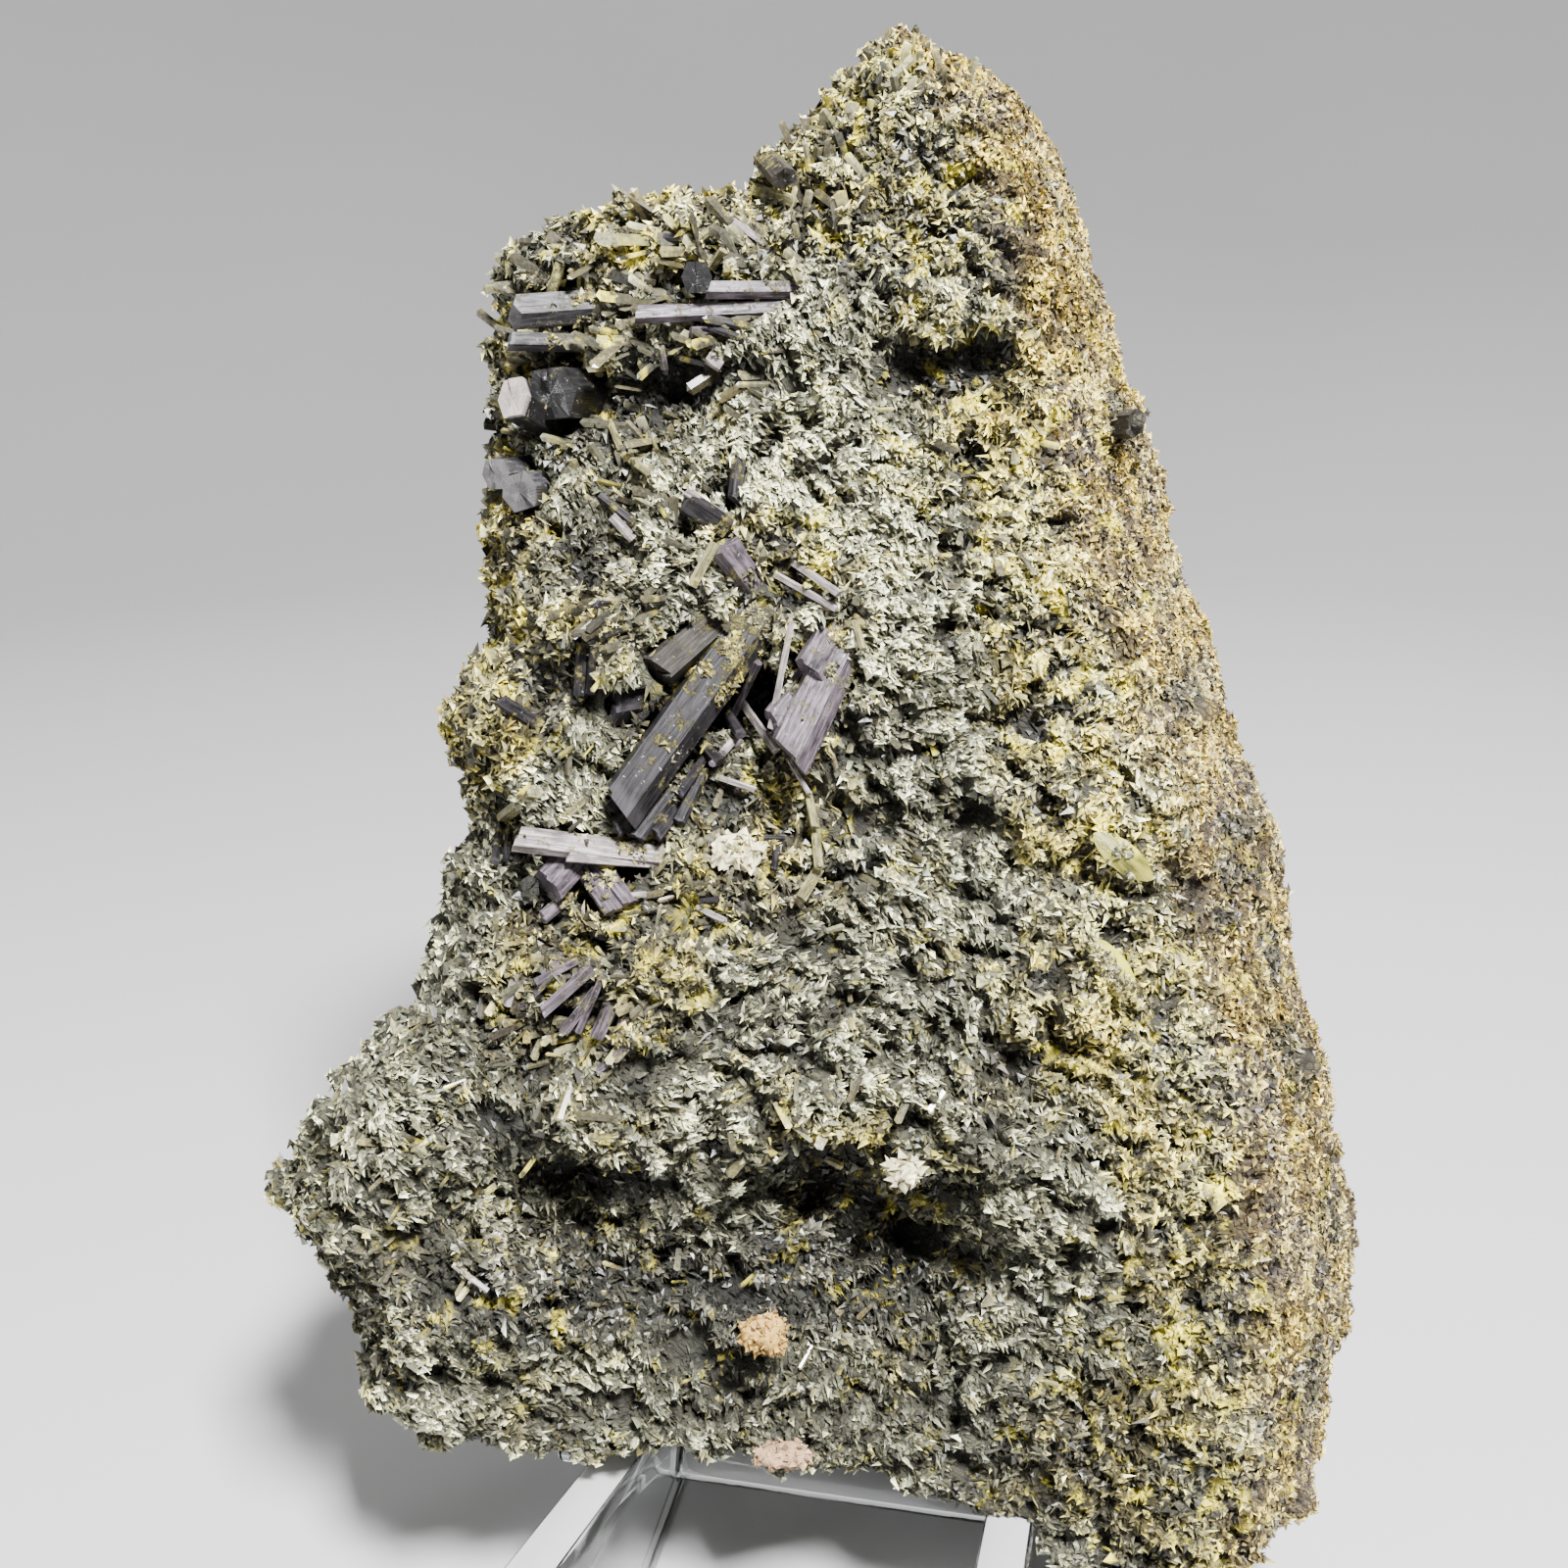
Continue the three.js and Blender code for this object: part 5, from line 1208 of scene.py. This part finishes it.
# Thickets of larger blades: x, y, reach across, reach up, lie and spread in degrees, how many, then their
# length, width and tone.
BLADE_STANDS = [
    (-10, 55.5, 8, 3.5, 160, 80, 34, 5, 1.3, 0.42), (-24, 50, 5, 5, 175, 90, 30, 4, 1.1, 0.34),
    (-4, 52, 5, 5, 130, 80, 34, 5, 1.3, 0.42), (-10, 44, 8, 4, 190, 70, 44, 5, 1.1, 0.34),
    (-14, 50.5, 6, 2, 180, 40, 24, 5, 1, 0.36), (-20, 43, 9, 7, 185, 70, 70, 5, 1.1, 0.26),
    (-27, 34, 3, 10, 190, 80, 34, 2.6, 1.2, 0.35), (-14, 30, 8, 6, 140, 90, 34, 3.2, 0.9, 0.4),
    (-18, 17, 5, 4, 195, 50, 26, 3, 0.8, 0.25), (-12, -12, 13, 6, 100, 180, 90, 3, 0.6, 0.45),
    (-22, -24, 8, 8, 230, 120, 70, 3, 0.8, 0.35), (20, 28, 7, 10, 300, 120, 40, 2.4, 0.8, 0.4),
    (3, 63, 5, 6, 110, 80, 30, 3.4, 1.2, 0.4), (14, 72, 6, 5, 80, 60, 20, 2.2, 0.8, 0.5),
    (-36, -42, 12, 12, 200, 120, 60, 2.8, 0.7, 0.4), (2, -34, 12, 5, 270, 140, 50, 2.8, 0.8, 0.5),
    (30, -50, 12, 16, 60, 140, 70, 2.6, 0.6, 0.5), (10, 0, 12, 24, -40, 80, 70, 2.4, 0.6, 0.55),
    (-10, 2, 6, 6, 220, 60, 30, 4, 0.7, 0.3), (-20, 8, 5, 8, 250, 90, 30, 2.6, 0.7, 0.35),
    (6, 8, 4, 9, 280, 90, 30, 2.4, 0.6, 0.5), (-4, -52, 24, 8, 200, 160, 80, 2.2, 0.6, 0.3),
]


def stand_blades(name, material, slot, seed):
    """Larger single blades that stand in groups out of the grains."""
    rng = np.random.default_rng(seed)
    chosen = []
    for x, y, reach_x, reach_y, lie, spread, count, length, width, shade in BLADE_STANDS:
        weight = patches(stone_seen, [(x, y, reach_x, reach_y, 1.0)]) ** 1.5 * front_share
        place, normal = surface_samples(stone_points, stone_triangles, weight, count, rng)[:2]
        turn = np.radians(lie + rng.uniform(-spread, spread, count) / 2)
        lying = np.stack([np.cos(turn), np.sin(turn), rng.uniform(0.15, 0.8, count)], axis=1)
        axis = unit(lying + 0.2 * normal)
        flat = unit(np.cross(axis, rng.normal(0, 0.4, (count, 3)) + np.array([0, 0, 1.0])))
        long = length * rng.uniform(0.5, 1.3, count)
        wide = width * rng.uniform(0.5, 1.3, count)
        chosen.append((place, axis, flat, long, wide, np.full(count, shade)))
    place, axis, flat, long, wide, shade = (np.concatenate(values) for values in zip(*chosen))
    base = place - axis * (0.3 * long)[:, None] + np.array([0, 0, 0.4])
    tips = base + axis * long[:, None]
    keep = np.minimum(crystal_clearance(tips), stand_clearance(tips)) > 0.2
    base, axis, flat, long, wide, shade = (values[keep] for values in (base, axis, flat, long, wide, shade))
    count = len(base)
    tone = np.clip(shade - 0.08 + rng.normal(0, 0.16, count), 0.05, 1)
    shares = [rng.random(count) * 0.2, rng.random(count) * 0.9, np.clip(rng.normal(0.35, 0.4, count), 0, 1)]
    thick = wide * rng.uniform(0.2, 0.5, count)
    made = blade_meshes(name, base, axis, flat, long, wide, thick, tone, shares)
    dress(new_object(name, made, material), slot)


stand_blades("standing_blades", blade_finish, "felted_matrix", seed=33)

# Lumps of other stone: x, y, depth, radius across, up and in.
CREAM_LUMPS = [(-4.9, -7, 5, 2.6, 1.7, 1.4), (12.2, -39.6, 5.2, 1.3, 0.9, 0.9)]
OCHRE_LUMPS = [(-1.8, -56.2, 2, 2.2, 2, 1.3)]
PINK_LUMPS = [(0, -68.4, -2.6, 2.8, 1.3, 2.2)]


def make_lump_finish(name, deep, pale):
    material, nodes, shader = new_material(name, Roughness=0.75)
    fleck = nodes.spread(nodes.noise(nodes.place(), 1500, 5, 0.7), 0.3, 0.7, -0.25, 0.25)
    tone = nodes.plus(nodes.value_of("grain_tone"), fleck, clamp=True)
    nodes.feed(shader.inputs, Base_Color=nodes.blend(tone, deep, pale))
    return material


def stone_lumps(name, entries, finish, crumbs, size, seed):
    """Rough broken lumps of a stone of another colour, set into the matrix, with crumbs on them."""
    rng = np.random.default_rng(seed)
    work = bmesh.new()
    places, outwards = [], []
    for x, y, z, *radii in entries:
        ball = bmesh.ops.create_icosphere(work, subdivisions=3, radius=1)["verts"]
        unit_places = np.array([vert.co for vert in ball])
        broken = noises(unit_places + x, (0.9, seed, 0.4), (0.35, seed, 0.16))
        cuts = unit(rng.normal(0, 1, (14, 3)))
        reach = rng.uniform(0.7, 1, 14) / np.maximum(unit_places @ cuts.T, 0.05)
        reach = np.minimum(reach.min(axis=1), 1.15) + 0.4 * broken
        moved = unit_places * reach[:, None] * np.array(radii)
        moved = moved + seen(x, y, z)
        for vert, point in zip(ball, to_world(moved)):
            vert.co = point
        picked = rng.integers(len(ball), size=crumbs)
        places.append(moved[picked])
        outwards.append(unit_places[picked])
    mesh = bpy.data.meshes.new(name)
    work.to_mesh(mesh)
    work.free()
    set_values(mesh, "grain_tone", np.full(len(mesh.vertices), 0.55))
    place, outwards = np.concatenate(places), np.concatenate(outwards)
    count = len(place)
    axis = unit(rng.normal(0, 1, (count, 3)) + 0.3 * outwards)
    flat = unit(np.cross(outwards, axis))
    long = size * rng.uniform(0.5, 1.3, count)
    wide = long * rng.uniform(0.5, 0.9, count)
    place = place + outwards * rng.uniform(-0.2, 0.3, (count, 1)) * size
    tone = np.clip(rng.normal(0.66, 0.25, count) + 0.3 * smooth_noise(place, 0.8, seed), 0.05, 1)
    shares = [np.zeros(count)] * 3
    base = place - axis * (long / 2)[:, None]
    chips = crumb_meshes(f"{name}_crumbs", base, axis, flat, long, wide, wide * 0.9, tone, shares, rng)
    for made in (mesh, chips):
        dress(new_object(made.name, made, finish), "felted_matrix")


cream_stone = make_lump_finish("cream_stone", (0.14, 0.125, 0.07), (0.8, 0.73, 0.46))
ochre_stone = make_lump_finish("ochre_stone", (0.08, 0.04, 0.01), (0.46, 0.28, 0.06))
pink_stone = make_lump_finish("pink_stone", (0.09, 0.05, 0.026), (0.36, 0.23, 0.13))
stone_lumps("cream_lumps", CREAM_LUMPS, cream_stone, crumbs=70, size=1.3, seed=101)
stone_lumps("ochre_lump", OCHRE_LUMPS, ochre_stone, crumbs=260, size=0.7, seed=104)
stone_lumps("pink_lump", PINK_LUMPS, pink_stone, crumbs=160, size=0.8, seed=107)


# Stand

# How wide its broken edges are, in metres.
BROKEN_EDGE = 0.0004
clear_acrylic = new_material(
    "clear_acrylic", Base_Color=(0.97, 0.985, 0.98, 1), Roughness=0.03, IOR=1.49, Transmission_Weight=1.0
)[0]


def make_cut_edge():
    """The satin of a sawn and scraped acrylic edge."""
    material, nodes, shader = new_material(
        "cut_acrylic_edge", Base_Color=(0.97, 0.98, 0.98, 1), IOR=1.49, Transmission_Weight=0.7
    )
    scraped = nodes.spread(nodes.noise(nodes.place(), 300, 3), 0.3, 0.7, 0.35, 0.6)
    nodes.feed(shader.inputs, Roughness=scraped)
    return material


cut_edge = make_cut_edge()


def polished(node):
    """A part of the stand with its edges broken, in place of its plain solid."""
    bevel = {"width": BROKEN_EDGE, "segments": 2, "limit_method": "ANGLE", "angle_limit": math.radians(40)}
    mesh = worked(node, WELD={"merge_threshold": 0.00001}, BEVEL=bevel)
    mesh.shade_smooth()
    mesh.set_sharp_from_angle(angle=math.radians(35))
    made = new_object(f"clear_{node.removeprefix('stand_')}", mesh, clear_acrylic)
    mesh.materials.append(cut_edge)
    if "plate" in node:
        for face in mesh.polygons:
            face.material_index = int(abs(face.normal.dot(Vector(STAND_ACROSS))) < 0.3)
    dress(made, "clear_acrylic", node)


for node in ("stand_plate_left", "stand_plate_right", "stand_rod_front", "stand_rod_back"):
    polished(node)


# Yellow-green lens crystals

def make_lens_finish():
    material, nodes, shader = new_material("lens_finish", IOR=1.6, Specular_IOR_Level=0.2)
    place = nodes.place()
    cloud = nodes.spread(nodes.noise(nodes.stretched(place, 0.7, (4, 1, 1)), 900, 5, 0.6), 0.35, 0.68)
    colour = nodes.blend(cloud, (0.03, 0.029, 0.005), (0.2, 0.185, 0.03))
    bright = nodes.spread(nodes.noise(place, 260, 3), 0.48, 0.66)
    colour = nodes.blend(bright, colour, (0.33, 0.31, 0.035))
    matt = nodes.spread(cloud, 0, 1, 0.2, 0.5)
    nodes.feed(shader.inputs, Base_Color=colour, Roughness=matt, Normal=nodes.bump(cloud, 0.5, 0.00025))
    return material


lens_finish = make_lens_finish()
for node in ("lens_crystal_upper", "lens_crystal_lower"):
    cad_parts[node].data.materials.clear()
    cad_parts[node].data.materials.append(lens_finish)


# Floor and light

# In metres: how far the floor lies flat, the radius of its bend and the height of the wall.
FLOOR_FLAT = 0.6
FLOOR_BEND = 0.7
WALL_HEIGHT = 2.4
# How many sides stand for the round of the floor.
FLOOR_SIDES = 72


def sweep_mesh():
    """A round pale floor that bends up into a wall on every side."""
    profile = [(0.02, 0.0), (0.3, 0.0), (FLOOR_FLAT, 0.0)]
    for turn in np.linspace(0.1, math.pi / 2, 14):
        profile.append((FLOOR_FLAT + FLOOR_BEND * math.sin(turn), FLOOR_BEND - FLOOR_BEND * math.cos(turn)))
    profile.append((FLOOR_FLAT + FLOOR_BEND, WALL_HEIGHT))
    turns = np.arange(FLOOR_SIDES) * 2 * math.pi / FLOOR_SIDES
    points = [(reach * math.cos(turn), reach * math.sin(turn), z) for reach, z in profile for turn in turns]
    faces = [tuple(range(FLOOR_SIDES))]
    for ring in range(len(profile) - 1):
        for step in range(FLOOR_SIDES):
            low, after = (ring * FLOOR_SIDES + (step + more) % FLOOR_SIDES for more in (0, 1))
            faces.append((low, low + FLOOR_SIDES, after + FLOOR_SIDES, after))
    mesh = bpy.data.meshes.new("floor")
    mesh.from_pydata(points, [], faces)
    mesh.shade_smooth()
    return mesh


floor_mesh = sweep_mesh()
floor_paint, floor_nodes, floor_shader = new_material("floor_paint", Roughness=0.6)
floor_cloud = floor_nodes.noise(floor_nodes.place(), 3, 2)
floor_nodes.feed(floor_shader.inputs, Base_Color=floor_nodes.blend(floor_cloud, [0.31] * 3, [0.35] * 3))
floor = new_object("floor", floor_mesh, floor_paint)


# Height that the lights aim at, in metres.
LIT_HEIGHT = 0.09


def soft_light(name, place, size, power):
    data = bpy.data.lights.new(name, "AREA")
    data.shape = "SQUARE"
    data.size = size
    data.energy = power
    light = bpy.data.objects.new(name, data)
    light.location = place
    aim = Vector((0, 0, LIT_HEIGHT)) - Vector(place)
    light.rotation_euler = aim.to_track_quat("-Z", "Y").to_euler()
    bpy.context.scene.collection.objects.link(light)


soft_light("key_light", (0.16, -0.38, 0.66), size=0.14, power=48)
soft_light("left_fill", (-0.6, -0.35, 0.35), size=0.4, power=3.6)
soft_light("back_light", (0.3, 0.6, 0.6), size=0.4, power=4)

world = bpy.data.worlds.new("studio")
world.use_nodes = True
world.node_tree.nodes["Background"].inputs["Color"].default_value = (0.8, 0.8, 0.8, 1)
world.node_tree.nodes["Background"].inputs["Strength"].default_value = 0.18
bpy.context.scene.world = world

bpy.context.view_layer.update()
